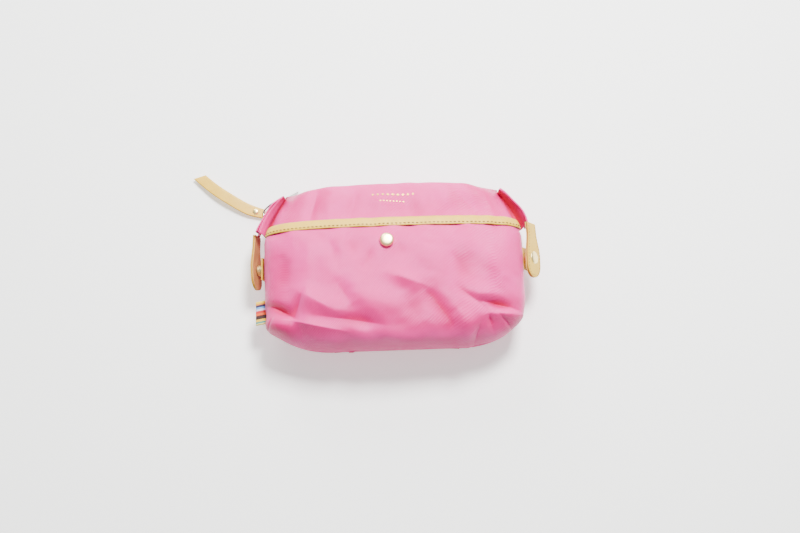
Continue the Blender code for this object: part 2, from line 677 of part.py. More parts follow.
def ribbon(kit):
    """Striped ribbon loop sewn into the left side seam."""
    start = -HALF_WIDTH - GAP
    box(kit, "ribbon_tag", "ribbon", (start - RIBBON_OUT, RIBBON_Y[0], SEAM_Z - 0.5 * RIBBON),
        (start, RIBBON_Y[1], SEAM_Z + 0.5 * RIBBON))


def clear_scene():
    """Start from an empty scene."""
    for item in list(bpy.data.objects):
        bpy.data.objects.remove(item, do_unlink=True)


def make_kit():
    """Collections and materials that the sub-parts share."""
    parts = bpy.data.collections.new("makeup_bag")
    bpy.context.scene.collection.children.link(parts)
    return {
        "parts": parts,
        "cloth": material("pink_coated_cloth", (0.92, 0.30, 0.52), 0.38, 0.0),
        "lining": material("crimson_lining", (0.70, 0.02, 0.10), 0.6, 0.0),
        "leather": material("tan_leather", (0.82, 0.66, 0.36), 0.5, 0.0),
        "teeth": material("pink_zip_coil", (0.80, 0.18, 0.36), 0.4, 0.0),
        "tape": material("pink_zip_tape", (0.86, 0.24, 0.44), 0.7, 0.0),
        "metal": material("polished_steel", (0.75, 0.75, 0.74), 0.2, 1.0),
        "gold": material("pale_gold_plate", (0.93, 0.84, 0.60), 0.25, 1.0),
        "ribbon": material("striped_ribbon", (0.80, 0.55, 0.20), 0.7, 0.0),
    }


def main():
    """Model the whole bag."""
    clear_scene()
    kit = make_kit()
    panels(kit)
    pocket(kit)
    zip_parts(kit)
    slider(kit)
    zip_pull(kit)
    ears(kit, -1, "left")
    ears(kit, 1, "right")
    side_tab(kit, "left", *LEFT_SNAP)
    side_tab(kit, "right", *RIGHT_SNAP)
    ribbon(kit)


main()
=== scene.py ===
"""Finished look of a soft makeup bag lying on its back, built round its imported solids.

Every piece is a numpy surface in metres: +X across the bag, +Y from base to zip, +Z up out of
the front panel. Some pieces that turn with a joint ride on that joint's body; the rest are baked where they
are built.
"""
import logging
import math
from dataclasses import dataclass, field
from enum import Enum
from typing import ClassVar

import bpy
import numpy as np
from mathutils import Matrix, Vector

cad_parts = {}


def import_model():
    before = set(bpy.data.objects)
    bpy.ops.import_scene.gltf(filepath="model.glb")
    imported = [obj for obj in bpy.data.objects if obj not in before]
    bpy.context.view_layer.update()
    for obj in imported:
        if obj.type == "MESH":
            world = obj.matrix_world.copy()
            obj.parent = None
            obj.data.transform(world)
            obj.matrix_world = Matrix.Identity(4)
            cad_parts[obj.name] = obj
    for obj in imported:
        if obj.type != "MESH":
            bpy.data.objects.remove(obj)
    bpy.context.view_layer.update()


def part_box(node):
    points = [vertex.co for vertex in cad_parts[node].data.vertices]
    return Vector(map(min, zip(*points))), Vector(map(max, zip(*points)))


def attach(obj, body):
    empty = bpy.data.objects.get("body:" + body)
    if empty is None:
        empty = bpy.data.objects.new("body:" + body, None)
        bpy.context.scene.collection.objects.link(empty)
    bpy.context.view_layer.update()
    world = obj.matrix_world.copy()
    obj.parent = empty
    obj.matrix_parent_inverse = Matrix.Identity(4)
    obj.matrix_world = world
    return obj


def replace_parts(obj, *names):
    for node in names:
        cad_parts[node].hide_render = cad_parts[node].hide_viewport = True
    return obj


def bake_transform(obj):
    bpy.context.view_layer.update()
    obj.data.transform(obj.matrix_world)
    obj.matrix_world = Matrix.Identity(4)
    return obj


LOG = logging.getLogger("makeup_bag")
MM = 0.001
TINY = 1e-12
POINTED = 1e-6
Array = np.ndarray


# ---------------------------------------------------------------- shapes

def smooth(value: Array | float, low: float, high: float) -> Array | float:
    """Smooth step: 0 below low, 1 above high, and 3t^2 - 2t^3 between them.

    Args:
        value: what is stepped.
        low: where the step starts.
        high: where it ends; it may be below low, which turns the step round.
    Returns:
        The step's value, of the same shape as value.
    """
    share = np.clip((value - low) / (high - low), 0.0, 1.0)
    return share * share * (3.0 - 2.0 * share)


def signed_power(value: Array, power: float) -> Array:
    """Power of a value's size that keeps its sign: below 1 it squares off a sine or a cosine."""
    return np.sign(value) * np.abs(value) ** power


def section(corners: int, flat: float, upright: float) -> tuple[Array, Array]:
    """Rounded section as a row: a superellipse, from -1 to 1 across and from -1 to 1 through.

    Args:
        corners: points round the section.
        flat: power of the cosine, across.
        upright: power of the sine, through.
    Returns:
        The two coordinates of its points, each (1, corners).
    """
    turn = np.linspace(0.0, 2 * np.pi, corners, endpoint=False)[None, :]
    return signed_power(np.cos(turn), flat), signed_power(np.sin(turn), upright)


def catmull(points: Array, share: Array) -> Array:
    """Catmull-Rom curve: a cubic between each two points, with half the chord as tangent.

    Args:
        points: (n, k) points of the curve.
        share: places along the curve, from 0 to 1, of any shape.
    Returns:
        The curve's points, with share's shape and k coordinates.
    """
    points = np.asarray(points, float)
    spans = len(points) - 1
    place = np.clip(share, 0.0, 1.0) * spans
    index = np.minimum(place.astype(int), spans - 1)
    t = (place - index)[..., None]
    a = points[np.maximum(index - 1, 0)]
    b, c = points[index], points[index + 1]
    d = points[np.minimum(index + 2, spans)]
    return 0.5 * (2 * b + (c - a) * t + (2 * a - 5 * b + 4 * c - d) * t ** 2
                  + (3 * b - a - 3 * c + d) * t ** 3)


def grid_normals(grid: Array, toward: Array) -> Array:
    """Unit normals of a grid of points: cross product of the two grid tangents.

    Args:
        grid: (rows, columns, 3) points.
        toward: a point that the normals face away from.
    Returns:
        (rows, columns, 3) normals.
    """
    along = np.gradient(grid, axis=0)
    across = np.gradient(grid, axis=1)
    normal = np.cross(along, across)
    normal /= np.maximum(np.linalg.norm(normal, axis=2, keepdims=True), TINY)
    facing = np.sum(normal * (grid - toward), axis=2).sum()
    return normal if facing > 0 else -normal


def quads(rows: int, columns: int, wrap: bool = False) -> Array:
    """Corner indices of the quads of a grid, row by row.

    Args:
        rows: points down the grid.
        columns: points across it.
        wrap: joins the last column to the first.
    Returns:
        (n, 4) corner indices.
    """
    start = np.arange(rows * columns).reshape(rows, columns)
    if wrap:
        start = np.concatenate([start, start[:, :1]], axis=1)
    return np.stack([start[:-1, :-1], start[:-1, 1:], start[1:, 1:], start[1:, :-1]], -1).reshape(-1, 4)


def make_object(name: str, points: Array, faces: Array, uv: Array | None = None) -> bpy.types.Object:
    """Mesh object from whole arrays of points and quads.

    Args:
        name: the piece's name.
        points: (n, 3) points.
        faces: (m, 4) corner indices.
        uv: (n, 2) values of the UV map, in metres.
    Returns:
        The new object, smooth shaded, linked to the scene.
    """
    mesh = bpy.data.meshes.new(name)
    mesh.from_pydata(points.reshape(-1, 3).tolist(), [], faces.tolist())
    if uv is not None:
        layer = mesh.uv_layers.new(name="cloth")
        layer.data.foreach_set("uv", uv.reshape(-1, 2)[faces.ravel()].astype(np.float32).ravel())
    mesh.shade_smooth()
    mesh.update()
    made = bpy.data.objects.new(name, mesh)
    bpy.context.scene.collection.objects.link(made)
    return made


def arc_uv(grid: Array) -> Array:
    """UV of a grid in metres: running length along its rows and along its columns.

    Args:
        grid: (rows, columns, 3) points.
    Returns:
        (rows, columns, 2) values, u from the middle column.
    """
    across = np.linalg.norm(np.diff(grid, axis=1), axis=2)
    along = np.linalg.norm(np.diff(grid, axis=0), axis=2)
    u = np.concatenate([np.zeros((grid.shape[0], 1)), np.cumsum(across, axis=1)], axis=1)
    v = np.concatenate([np.zeros((1, grid.shape[1])), np.cumsum(along, axis=0)], axis=0)
    u = u - u[:, grid.shape[1] // 2][:, None]
    return np.stack([u, v], axis=2)


def sheet_object(name: str, grid: Array, inside: Array, thickness: float) -> bpy.types.Object:
    """Cloth sheet from a grid of points, facing away from a point, with a solid thickness behind it.

    Args:
        name: the piece's name.
        grid: (rows, columns, 3) points of its outer face.
        inside: a point that its outer face looks away from.
        thickness: metres of cloth behind the outer face.
    Returns:
        The object, with a live Solidify modifier.
    """
    faces = quads(*grid.shape[:2])
    across = np.cross(np.gradient(grid, axis=0), np.gradient(grid, axis=1))
    if np.sum(across * (grid - inside)) > 0:
        faces = faces[:, ::-1]
    made = make_object(name, grid, faces, arc_uv(grid))
    solid = made.modifiers.new("thickness", "SOLIDIFY")
    solid.thickness = thickness
    solid.offset = -1.0
    return made


def tube_object(name: str, path: Array, radius: Array | float, sides: int = 10,
                closed: bool = False) -> bpy.types.Object:
    """Round tube: circles of the given radius carried along a path, across its tangent.

    Args:
        name: the piece's name.
        path: (n, 3) points.
        radius: one radius, or one for each point.
        sides: corners of the tube's section.
        closed: joins the last point to the first.
    Returns:
        The tube, with its ends drawn to a point unless closed.
    """
    path = np.asarray(path, float)
    if closed:
        tangent = np.roll(path, -1, axis=0) - np.roll(path, 1, axis=0)
    else:
        tangent = np.gradient(path, axis=0)
    tangent /= np.linalg.norm(tangent, axis=1, keepdims=True)
    pole = np.array([0.0, 0.0, 1.0]) if np.abs(tangent[:, 2]).mean() < 0.8 else np.array([0.0, 1.0, 0.0])
    side = np.cross(tangent, pole)
    side /= np.maximum(np.linalg.norm(side, axis=1, keepdims=True), TINY)
    up = np.cross(side, tangent)
    angle = np.linspace(0.0, 2 * np.pi, sides, endpoint=False)
    size = np.broadcast_to(np.asarray(radius, float), (len(path),)).copy()
    if not closed:
        size[0] = size[-1] = POINTED
    ring = side[:, None] * np.cos(angle)[None, :, None] + up[:, None] * np.sin(angle)[None, :, None]
    grid = path[:, None] + ring * size[:, None, None]
    faces = quads(len(path), sides, wrap=True)
    if closed:
        last = (len(path) - 1) * sides + np.arange(sides)
        joined = np.stack([last, np.roll(last, -1), np.roll(np.arange(sides), -1), np.arange(sides)], -1)
        faces = np.concatenate([faces, joined])
    return make_object(name, grid, faces)


def turned_object(name: str, profile: Array, place: Array, normal: Array,
                  sides: int = 48) -> bpy.types.Object:
    """Turned piece: a (radius, height) profile carried round an axis.

    Args:
        name: the piece's name.
        profile: (n, 2) radius and height, from the top down.
        place: the axis's foot.
        normal: the axis's direction.
        sides: steps round the axis.
    Returns:
        The turned piece.
    """
    normal = np.asarray(normal, float) / np.linalg.norm(normal)
    side = np.cross(normal, [0.0, 1.0, 0.0] if abs(normal[1]) < 0.9 else [1.0, 0.0, 0.0])
    side /= np.linalg.norm(side)
    up = np.cross(normal, side)
    angle = np.linspace(0.0, 2 * np.pi, sides, endpoint=False)
    ring = side * np.cos(angle)[:, None] + up * np.sin(angle)[:, None]
    profile = np.asarray(profile, float)
    grid = (place + profile[:, 1, None, None] * normal
            + np.maximum(profile[:, 0, None, None], POINTED) * ring[None])
    return make_object(name, grid, quads(len(profile), sides, wrap=True)[:, ::-1])


def dome_profile(radius: float, shoulder: float, rim: Array) -> Array:
    """Profile of a domed cap: an eased quarter round over its shoulder, then the rim's points.

    Args:
        radius: of the dome's foot.
        shoulder: height of the dome's foot.
        rim: (n, 2) radius and height of the points below the dome.
    Returns:
        (m, 2) radius and height, from the top down.
    """
    turn = np.linspace(0.0, math.pi / 2, 12)
    dome = np.stack([radius * np.sin(turn) ** 0.6, shoulder + 1.0 * MM * np.cos(turn)], -1)
    return np.concatenate([dome, rim])


def beads_object(name: str, points: Array, flip: bool = False) -> bpy.types.Object:
    """Many small closed beads as one object.

    Args:
        name: the piece's name.
        points: (beads, rings, corners, 3) points.
        flip: turns the faces round.
    Returns:
        The beads.
    """
    beads, rings, corners = points.shape[:3]
    first = np.arange(beads) * rings * corners
    faces = (quads(rings, corners, wrap=True)[None] + first[:, None, None]).reshape(-1, 4)
    return make_object(name, points, faces[:, ::-1] if flip else faces)


def stitch_object(name: str, path: Array, normal: Array, pitch: float, length: float,
                  width: float) -> bpy.types.Object:
    """Row of stitches: one small rounded bead at every pitch along a path.

    A bead is an ellipsoid of 5 rings of 6 corners: long axis on the path's tangent, short on its normal.

    Args:
        name: the piece's name.
        path: (n, 3) points.
        normal: (n, 3) normals of the surface that is sewn.
        pitch: from one stitch to the next.
        length: a stitch's length.
        width: its width.
    Returns:
        All the stitches as one object.
    """
    step = np.linalg.norm(np.diff(path, axis=0), axis=1)
    run = np.concatenate([[0.0], np.cumsum(step)])
    places = np.arange(0.5 * pitch, run[-1] - 0.4 * pitch, pitch)
    near = 0.1 * MM

    def along_row(values: Array, shift: float = 0.0) -> Array:
        """Values at each stitch's place, moved along the row by the shift."""
        return np.stack([np.interp(places + shift, run, values[:, k]) for k in range(3)], -1)

    up = along_row(normal)
    along = along_row(path, near) - along_row(path, -near)
    along /= np.linalg.norm(along, axis=1, keepdims=True)
    up /= np.linalg.norm(up, axis=1, keepdims=True)
    side = np.cross(up, along)
    polar = np.linspace(0.0, np.pi, 5)[:, None]
    turn = np.linspace(0.0, 2 * np.pi, 6, endpoint=False)[None, :]
    cap = np.sin(polar) + 1e-3
    unit = np.stack(np.broadcast_arrays(np.cos(polar), cap * np.cos(turn), cap * np.sin(turn)), -1)
    bead = (unit[None, ..., :1] * along[:, None, None] * 0.5 * length
            + unit[None, ..., 1:2] * side[:, None, None] * 0.5 * width
            + unit[None, ..., 2:3] * up[:, None, None] * 0.35 * width)
    return beads_object(name, along_row(path)[:, None, None] + bead)


def bend(piece: bpy.types.Object, weight: Array) -> None:
    """Bake a piece's placement into its mesh; it follows no body.

    Args:
        piece: the object.
        weight: not used.
    """
    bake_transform(piece)


def points_of(piece: bpy.types.Object) -> Array:
    """(n, 3) points of a piece's mesh."""
    flat = np.zeros(len(piece.data.vertices) * 3, np.float32)
    piece.data.vertices.foreach_get("co", flat)
    return flat.reshape(-1, 3).astype(float)


# ---------------------------------------------------------------- finishes

class Nodes:
    """Short way to add shader nodes to a tree and to link them."""

    def __init__(self, tree: bpy.types.NodeTree) -> None:
        """Keep the tree that nodes are added to."""
        self.tree = tree

    def add(self, kind: str, **values: object) -> bpy.types.Node:
        """Add a node.

        Args:
            kind: its Blender type.
            values: attributes, or input sockets where a name starts with in_ and holds the socket's
                index or its name with _ for a space.
        Returns:
            The node.
        """
        made = self.tree.nodes.new(kind)
        for key, value in values.items():
            if key.startswith("in_"):
                word = key[3:]
                socket = made.inputs[int(word)] if word.isdigit() else made.inputs[word.replace("_", " ")]
                self.feed(socket, value)
            else:
                setattr(made, key, value)
        return made

    def feed(self, socket: bpy.types.NodeSocket, value: object) -> None:
        """Link an output socket to an input, or set the input's own value."""
        if isinstance(value, bpy.types.NodeSocket):
            self.tree.links.new(value, socket)
        else:
            socket.default_value = value

    def math(self, operation: str, first: object, second: object = 0.0) -> bpy.types.NodeSocket:
        """Output of a Math node."""
        return self.add("ShaderNodeMath", operation=operation, in_0=first, in_1=second).outputs[0]

    def mix(self, factor: object, first: object, second: object) -> bpy.types.NodeSocket:
        """Output of a colour mix of two colours.

        Args:
            factor: share of the second colour.
            first: a colour or a socket.
            second: a colour or a socket.
        Returns:
            The mixed colour.
        """
        made = self.add("ShaderNodeMix", data_type="RGBA")
        self.feed(made.inputs[0], factor)
        self.feed(made.inputs[6], first)
        self.feed(made.inputs[7], second)
        return made.outputs[2]

    def ramp(self, value: object, low: float, high: float) -> bpy.types.NodeSocket:
        """Output of a value mapped from low..high to 0..1 and held there."""
        return self.add("ShaderNodeMapRange", in_0=value, in_1=low, in_2=high).outputs[0]


    def group(self, tree: bpy.types.NodeTree, vector: bpy.types.NodeSocket,
              **values: float) -> bpy.types.Node:
        """Add a shared group, with the vector that it reads and the values of its other inputs.

        Args:
            tree: the group.
            vector: the coordinates that it reads.
            values: its other inputs by name.
        Returns:
            The node.
        """
        made = self.add("ShaderNodeGroup", node_tree=tree, in_Vector=vector)
        for word, value in values.items():
            made.inputs[word].default_value = value
        return made

    def bump(self, shader: bpy.types.Node, height: bpy.types.NodeSocket, strength: float,
             distance: float) -> None:
        """Feed a height to a shader's normal through a Bump node.

        Args:
            shader: the Principled shader.
            height: the height.
            strength: how much of it shows, 0 to 1.
            distance: metres that a height of 1 stands for.
        """
        made = self.add("ShaderNodeBump", in_Strength=strength, in_Distance=distance, in_Height=height)
        self.feed(shader.inputs["Normal"], made.outputs[0])


def start_material(name: str) -> tuple[bpy.types.Material, Nodes, bpy.types.Node, bpy.types.Node]:
    """New material, with its node maker, its Principled shader and its texture coordinates.

    Args:
        name: its name.
    Returns:
        The material, a node maker for it, its shader, and its texture coordinate node.
    """
    made = bpy.data.materials.new(name)
    made.use_nodes = True
    maker = Nodes(made.node_tree)
    return made, maker, made.node_tree.nodes["Principled BSDF"], maker.add("ShaderNodeTexCoord")


def group_tree(name: str, inputs: dict[str, tuple[str, object]],
               outputs: dict[str, str]) -> tuple[bpy.types.NodeTree, Nodes, dict, bpy.types.Node]:
    """Empty shader node group with named sockets.

    Args:
        name: the group's name.
        inputs: name to socket type and default value.
        outputs: name to socket type.
    Returns:
        The group, a node maker for it, its inputs by name, and its output node.
    """
    tree = bpy.data.node_groups.new(name, "ShaderNodeTree")
    for word, (kind, value) in inputs.items():
        socket = tree.interface.new_socket(name=word, in_out="INPUT", socket_type=kind)
        if value is not None:
            socket.default_value = value
    for word, kind in outputs.items():
        tree.interface.new_socket(name=word, in_out="OUTPUT", socket_type=kind)
    maker = Nodes(tree)
    entry = maker.add("NodeGroupInput")
    leave = maker.add("NodeGroupOutput")
    return tree, maker, {word: entry.outputs[word] for word in inputs}, leave


class Effects:
    """Shader node groups that several finishes share."""

    def __init__(self) -> None:
        """Build each group once."""
        self.weave = self.build_weave()
        self.grain = self.build_grain()
        self.mottle = self.build_mottle()
        self.scuff = self.build_scuff()

    @staticmethod
    def build_weave() -> bpy.types.NodeTree:
        """Twill: the product of a warp wave and a weft wave, shifted along the diagonal."""
        tree, n, sockets, leave = group_tree(
            "twill_weave", {"Vector": ("NodeSocketVector", None), "Pitch": ("NodeSocketFloat", 0.0008)},
            {"Height": "NodeSocketFloat"})
        split = n.add("ShaderNodeSeparateXYZ", in_0=sockets["Vector"])
        turns = n.math("DIVIDE", 2 * math.pi, sockets["Pitch"])
        warp = n.math("SINE", n.math("MULTIPLY", split.outputs[0], turns))
        weft = n.math("SINE", n.math("MULTIPLY", split.outputs[1], turns))
        both = n.math("ADD", split.outputs[0], split.outputs[1])
        twill = n.math("SINE", n.math("MULTIPLY", both, n.math("MULTIPLY", turns, 0.5)))
        dots = n.math("MULTIPLY", warp, weft)
        height = n.math("ADD", n.math("MULTIPLY", dots, 0.6), n.math("MULTIPLY", twill, 0.4))
        n.feed(leave.inputs["Height"], height)
        return tree

    @staticmethod
    def build_grain() -> bpy.types.NodeTree:
        """Leather grain: small cells whose edges sink, over a finer noise."""
        tree, n, sockets, leave = group_tree(
            "leather_grain", {"Vector": ("NodeSocketVector", None), "Scale": ("NodeSocketFloat", 1400.0)},
            {"Height": "NodeSocketFloat", "Pores": "NodeSocketFloat"})
        cells = n.add("ShaderNodeTexVoronoi", feature="DISTANCE_TO_EDGE", in_Vector=sockets["Vector"],
                      in_Scale=sockets["Scale"])
        fine = n.add("ShaderNodeTexNoise", in_Vector=sockets["Vector"], in_Detail=5.0,
                     in_Scale=n.math("MULTIPLY", sockets["Scale"], 1.7))
        edge = n.ramp(cells.outputs["Distance"], 0.0, 0.25)
        n.feed(leave.inputs["Height"], n.math("ADD", edge, n.math("MULTIPLY", fine.outputs[0], 0.6)))
        n.feed(leave.inputs["Pores"], edge)
        return tree

    @staticmethod
    def build_mottle() -> bpy.types.NodeTree:
        """Slow variation of a colour: two sizes of noise, as a mask from 0 to 1."""
        tree, n, sockets, leave = group_tree(
            "slow_mottle", {"Vector": ("NodeSocketVector", None), "Scale": ("NodeSocketFloat", 40.0)},
            {"Mask": "NodeSocketFloat"})
        broad = n.add("ShaderNodeTexNoise", in_Vector=sockets["Vector"], in_Scale=sockets["Scale"],
                      in_Detail=3.0, in_Distortion=0.6)
        small = n.add("ShaderNodeTexNoise", in_Vector=sockets["Vector"], in_Detail=4.0,
                      in_Scale=n.math("MULTIPLY", sockets["Scale"], 7.0))
        mixed = n.math("ADD", n.math("MULTIPLY", broad.outputs[0], 0.75),
                       n.math("MULTIPLY", small.outputs[0], 0.25))
        n.feed(leave.inputs["Mask"], n.ramp(mixed, 0.36, 0.64))
        return tree

    @staticmethod
    def build_scuff() -> bpy.types.NodeTree:
        """Fine handling marks: stretched noise kept only at its peaks."""
        tree, n, sockets, leave = group_tree(
            "handling_marks", {"Vector": ("NodeSocketVector", None), "Amount": ("NodeSocketFloat", 0.3)},
            {"Mask": "NodeSocketFloat"})
        noise = n.add("ShaderNodeTexNoise", in_Vector=sockets["Vector"], in_Scale=900.0, in_Detail=6.0)
        peaks = n.ramp(noise.outputs[0], 0.55, 0.75)
        n.feed(leave.inputs["Mask"], n.math("MULTIPLY", peaks, sockets["Amount"]))
        return tree


class Pattern(Enum):
    """What a finish's pattern follows."""
    OWN_UV = "own_uv"
    OBJECT = "object"


@dataclass(frozen=True)
class ClothFinish:
    """Coated or plain woven cloth."""
    name: str
    light: tuple[float, float, float]
    deep: tuple[float, float, float]
    # The shade and recess colours are painted shade: they stand in for the shade in folds, recesses and
    # slopes turned from the light.
    recess_shade: tuple[float, float, float]
    shade: tuple[float, float, float] = (0.56, 0.0, 0.13)
    roughness: float = 0.34
    pitch: float = 1.3 * MM
    bump: float = 0.5
    specular: float = 0.26
    sheen: float = 0.02
    mottle_scale: float = 34.0
    mottle_share: float = 0.4
    thread_share: float = 0.3
    relief: float = 0.3 * MM
    pattern: Pattern = Pattern.OWN_UV

    def build(self, effects: Effects) -> bpy.types.Material:
        """Make the material: mottled colour, with painted shade in the folds and wherever else the fold
        attribute marks, and a twill bump.

        Args:
            effects: the shared node groups.
        Returns:
            The material.
        """
        made, n, shader, where = start_material(self.name)
        flat = where.outputs["UV"] if self.pattern is Pattern.OWN_UV else where.outputs["Object"]
        weave = n.group(effects.weave, flat, Pitch=self.pitch)
        mottle = n.group(effects.mottle, where.outputs["Object"], Scale=self.mottle_scale)
        fold = n.add("ShaderNodeAttribute", attribute_name="fold")
        uneven = n.math("MULTIPLY", mottle.outputs[0], self.mottle_share)
        tint = n.mix(uneven, (*self.light, 1.0), (*self.deep, 1.0))
        thread = n.ramp(weave.outputs[0], -1.0, 1.0)
        tint = n.mix(n.math("MULTIPLY", thread, self.thread_share), tint, (*self.deep, 1.0))
        # Painted shade: the fold attribute mixes in the shade colour up to 0.5 and the recess colour above
        # it.
        tint = n.mix(n.ramp(fold.outputs["Fac"], 0.0, 0.5), tint, (*self.shade, 1.0))
        tint = n.mix(n.ramp(fold.outputs["Fac"], 0.5, 1.0), tint, (*self.recess_shade, 1.0))
        n.feed(shader.inputs["Base Color"], tint)
        rough = n.math("ADD", n.math("MULTIPLY", mottle.outputs[0], 0.10), self.roughness - 0.05)
        n.feed(shader.inputs["Roughness"], rough)
        shader.inputs["Specular IOR Level"].default_value = self.specular
        shader.inputs["Sheen Weight"].default_value = self.sheen
        shader.inputs["Sheen Roughness"].default_value = 0.4
        n.bump(shader, weave.outputs[0], self.bump, self.relief)
        return made


@dataclass(frozen=True)
class LeatherFinish:
    """Smooth leather with fine grain, and a darker raw edge where the attribute edge is 1."""
    name: str
    light: tuple[float, float, float]
    deep: tuple[float, float, float]
    edge: tuple[float, float, float]
    roughness: float = 0.45
    grain: float = 1500.0
    bump: float = 0.25
    relief: float = 0.15 * MM
    mottle_scale: float = 90.0
    pore_share: float = 0.18
    scuffing: float = 0.12

    def build(self, effects: Effects) -> bpy.types.Material:
        """Make the material.

        Args:
            effects: the shared node groups.
        Returns:
            The material.
        """
        made, n, shader, where = start_material(self.name)
        place = where.outputs["Object"]
        grain = n.group(effects.grain, place, Scale=self.grain)
        mottle = n.group(effects.mottle, place, Scale=self.mottle_scale)
        scuff = n.group(effects.scuff, place, Amount=self.scuffing)
        edge = n.add("ShaderNodeAttribute", attribute_name="edge")
        tint = n.mix(mottle.outputs[0], (*self.light, 1.0), (*self.deep, 1.0))
        pores = n.math("MULTIPLY", n.math("SUBTRACT", 1.0, grain.outputs["Pores"]), self.pore_share)
        tint = n.mix(pores, tint, (*self.edge, 1.0))
        tint = n.mix(edge.outputs["Fac"], tint, (*self.edge, 1.0))
        n.feed(shader.inputs["Base Color"], tint)
        n.feed(shader.inputs["Roughness"], n.math("ADD", scuff.outputs[0], self.roughness))
        n.bump(shader, grain.outputs["Height"], self.bump, self.relief)
        return made


@dataclass(frozen=True)
class MetalFinish:
    """Polished or plated metal with faint handling marks."""
    name: str
    colour: tuple[float, float, float]
    worn: tuple[float, float, float]
    roughness: float
    scuffing: float = 0.4
    bump: float = 0.05
    relief: float = 0.1 * MM

    def build(self, effects: Effects) -> bpy.types.Material:
        """Make the material.

        Args:
            effects: the shared node groups.
        Returns:
            The material.
        """
        made, n, shader, where = start_material(self.name)
        scuff = n.group(effects.scuff, where.outputs["Object"], Amount=self.scuffing)
        tint = n.mix(scuff.outputs[0], (*self.colour, 1.0), (*self.worn, 1.0))
        n.feed(shader.inputs["Base Color"], tint)
        shader.inputs["Metallic"].default_value = 1.0
        rough = n.math("ADD", n.math("MULTIPLY", scuff.outputs[0], 0.5), self.roughness)
        n.feed(shader.inputs["Roughness"], rough)
        n.bump(shader, scuff.outputs[0], self.bump, self.relief)
        return made


@dataclass(frozen=True)
class RibbonFinish:
    """Woven ribbon: plain bands along its height, with a ribbed bump."""
    name: str
    bands: tuple[tuple[float, tuple[float, float, float]], ...]
    gap: tuple[float, float, float] = (0.05, 0.04, 0.05)
    pitch: float = 0.7 * MM
    bump: float = 0.5
    relief: float = 0.2 * MM

    def build(self, effects: Effects) -> bpy.types.Material:
        """Make the material.

        Args:
            effects: the shared node groups.
        Returns:
            The material.
        """
        made, n, shader, where = start_material(self.name)
        split = n.add("ShaderNodeSeparateXYZ", in_0=where.outputs["UV"])
        ramp = n.add("ShaderNodeValToRGB", in_0=split.outputs[1])
        ramp.color_ramp.interpolation = "CONSTANT"
        stops = ramp.color_ramp.elements
        for stop, (start, colour) in zip(stops, self.bands):
            stop.position, stop.color = start, (*colour, 1.0)
        for start, colour in self.bands[len(stops):]:
            stops.new(start).color = (*colour, 1.0)
        weave = n.group(effects.weave, where.outputs["Object"], Pitch=self.pitch)
        shade = n.math("MULTIPLY", n.ramp(weave.outputs[0], -1.0, 1.0), 0.2)
        n.feed(shader.inputs["Base Color"], n.mix(shade, ramp.outputs[0], (*self.gap, 1.0)))
        shader.inputs["Roughness"].default_value = 0.75
        n.bump(shader, weave.outputs[0], self.bump, self.relief)
        return made


class Finish(Enum):
    """The bag's finishes by name."""
    CLOTH = "pink_coated_twill"
    LINING = "crimson_lining"
    LEATHER = "tan_leather"
    # Painted shade: the back leather's darker brown stands for the shade on the tabs' inner faces.
    LEATHER_BACK = "shaded_flesh_side"
    THREAD = "tan_thread"
    GOLD = "pale_gold_plate"
    STEEL = "polished_steel"
    FOIL = "gold_foil"
    TAPE = "pink_zip_tape"
    COIL = "pink_zip_coil"
    RIBBON = "striped_ribbon"


RIBBON_BANDS = (
    (0.0, (0.70, 0.62, 0.20)), (0.07, (0.03, 0.26, 0.24)), (0.14, (0.85, 0.52, 0.01)),
    (0.24, (0.035, 0.006, 0.004)), (0.40, (0.80, 0.10, 0.005)), (0.50, (0.60, 0.005, 0.012)),
    (0.60, (0.66, 0.58, 0.78)), (0.68, (0.14, 0.34, 0.70)), (0.76, (0.012, 0.004, 0.06)),
    (0.85, (0.80, 0.28, 0.005)), (0.92, (0.88, 0.60, 0.02)),
)


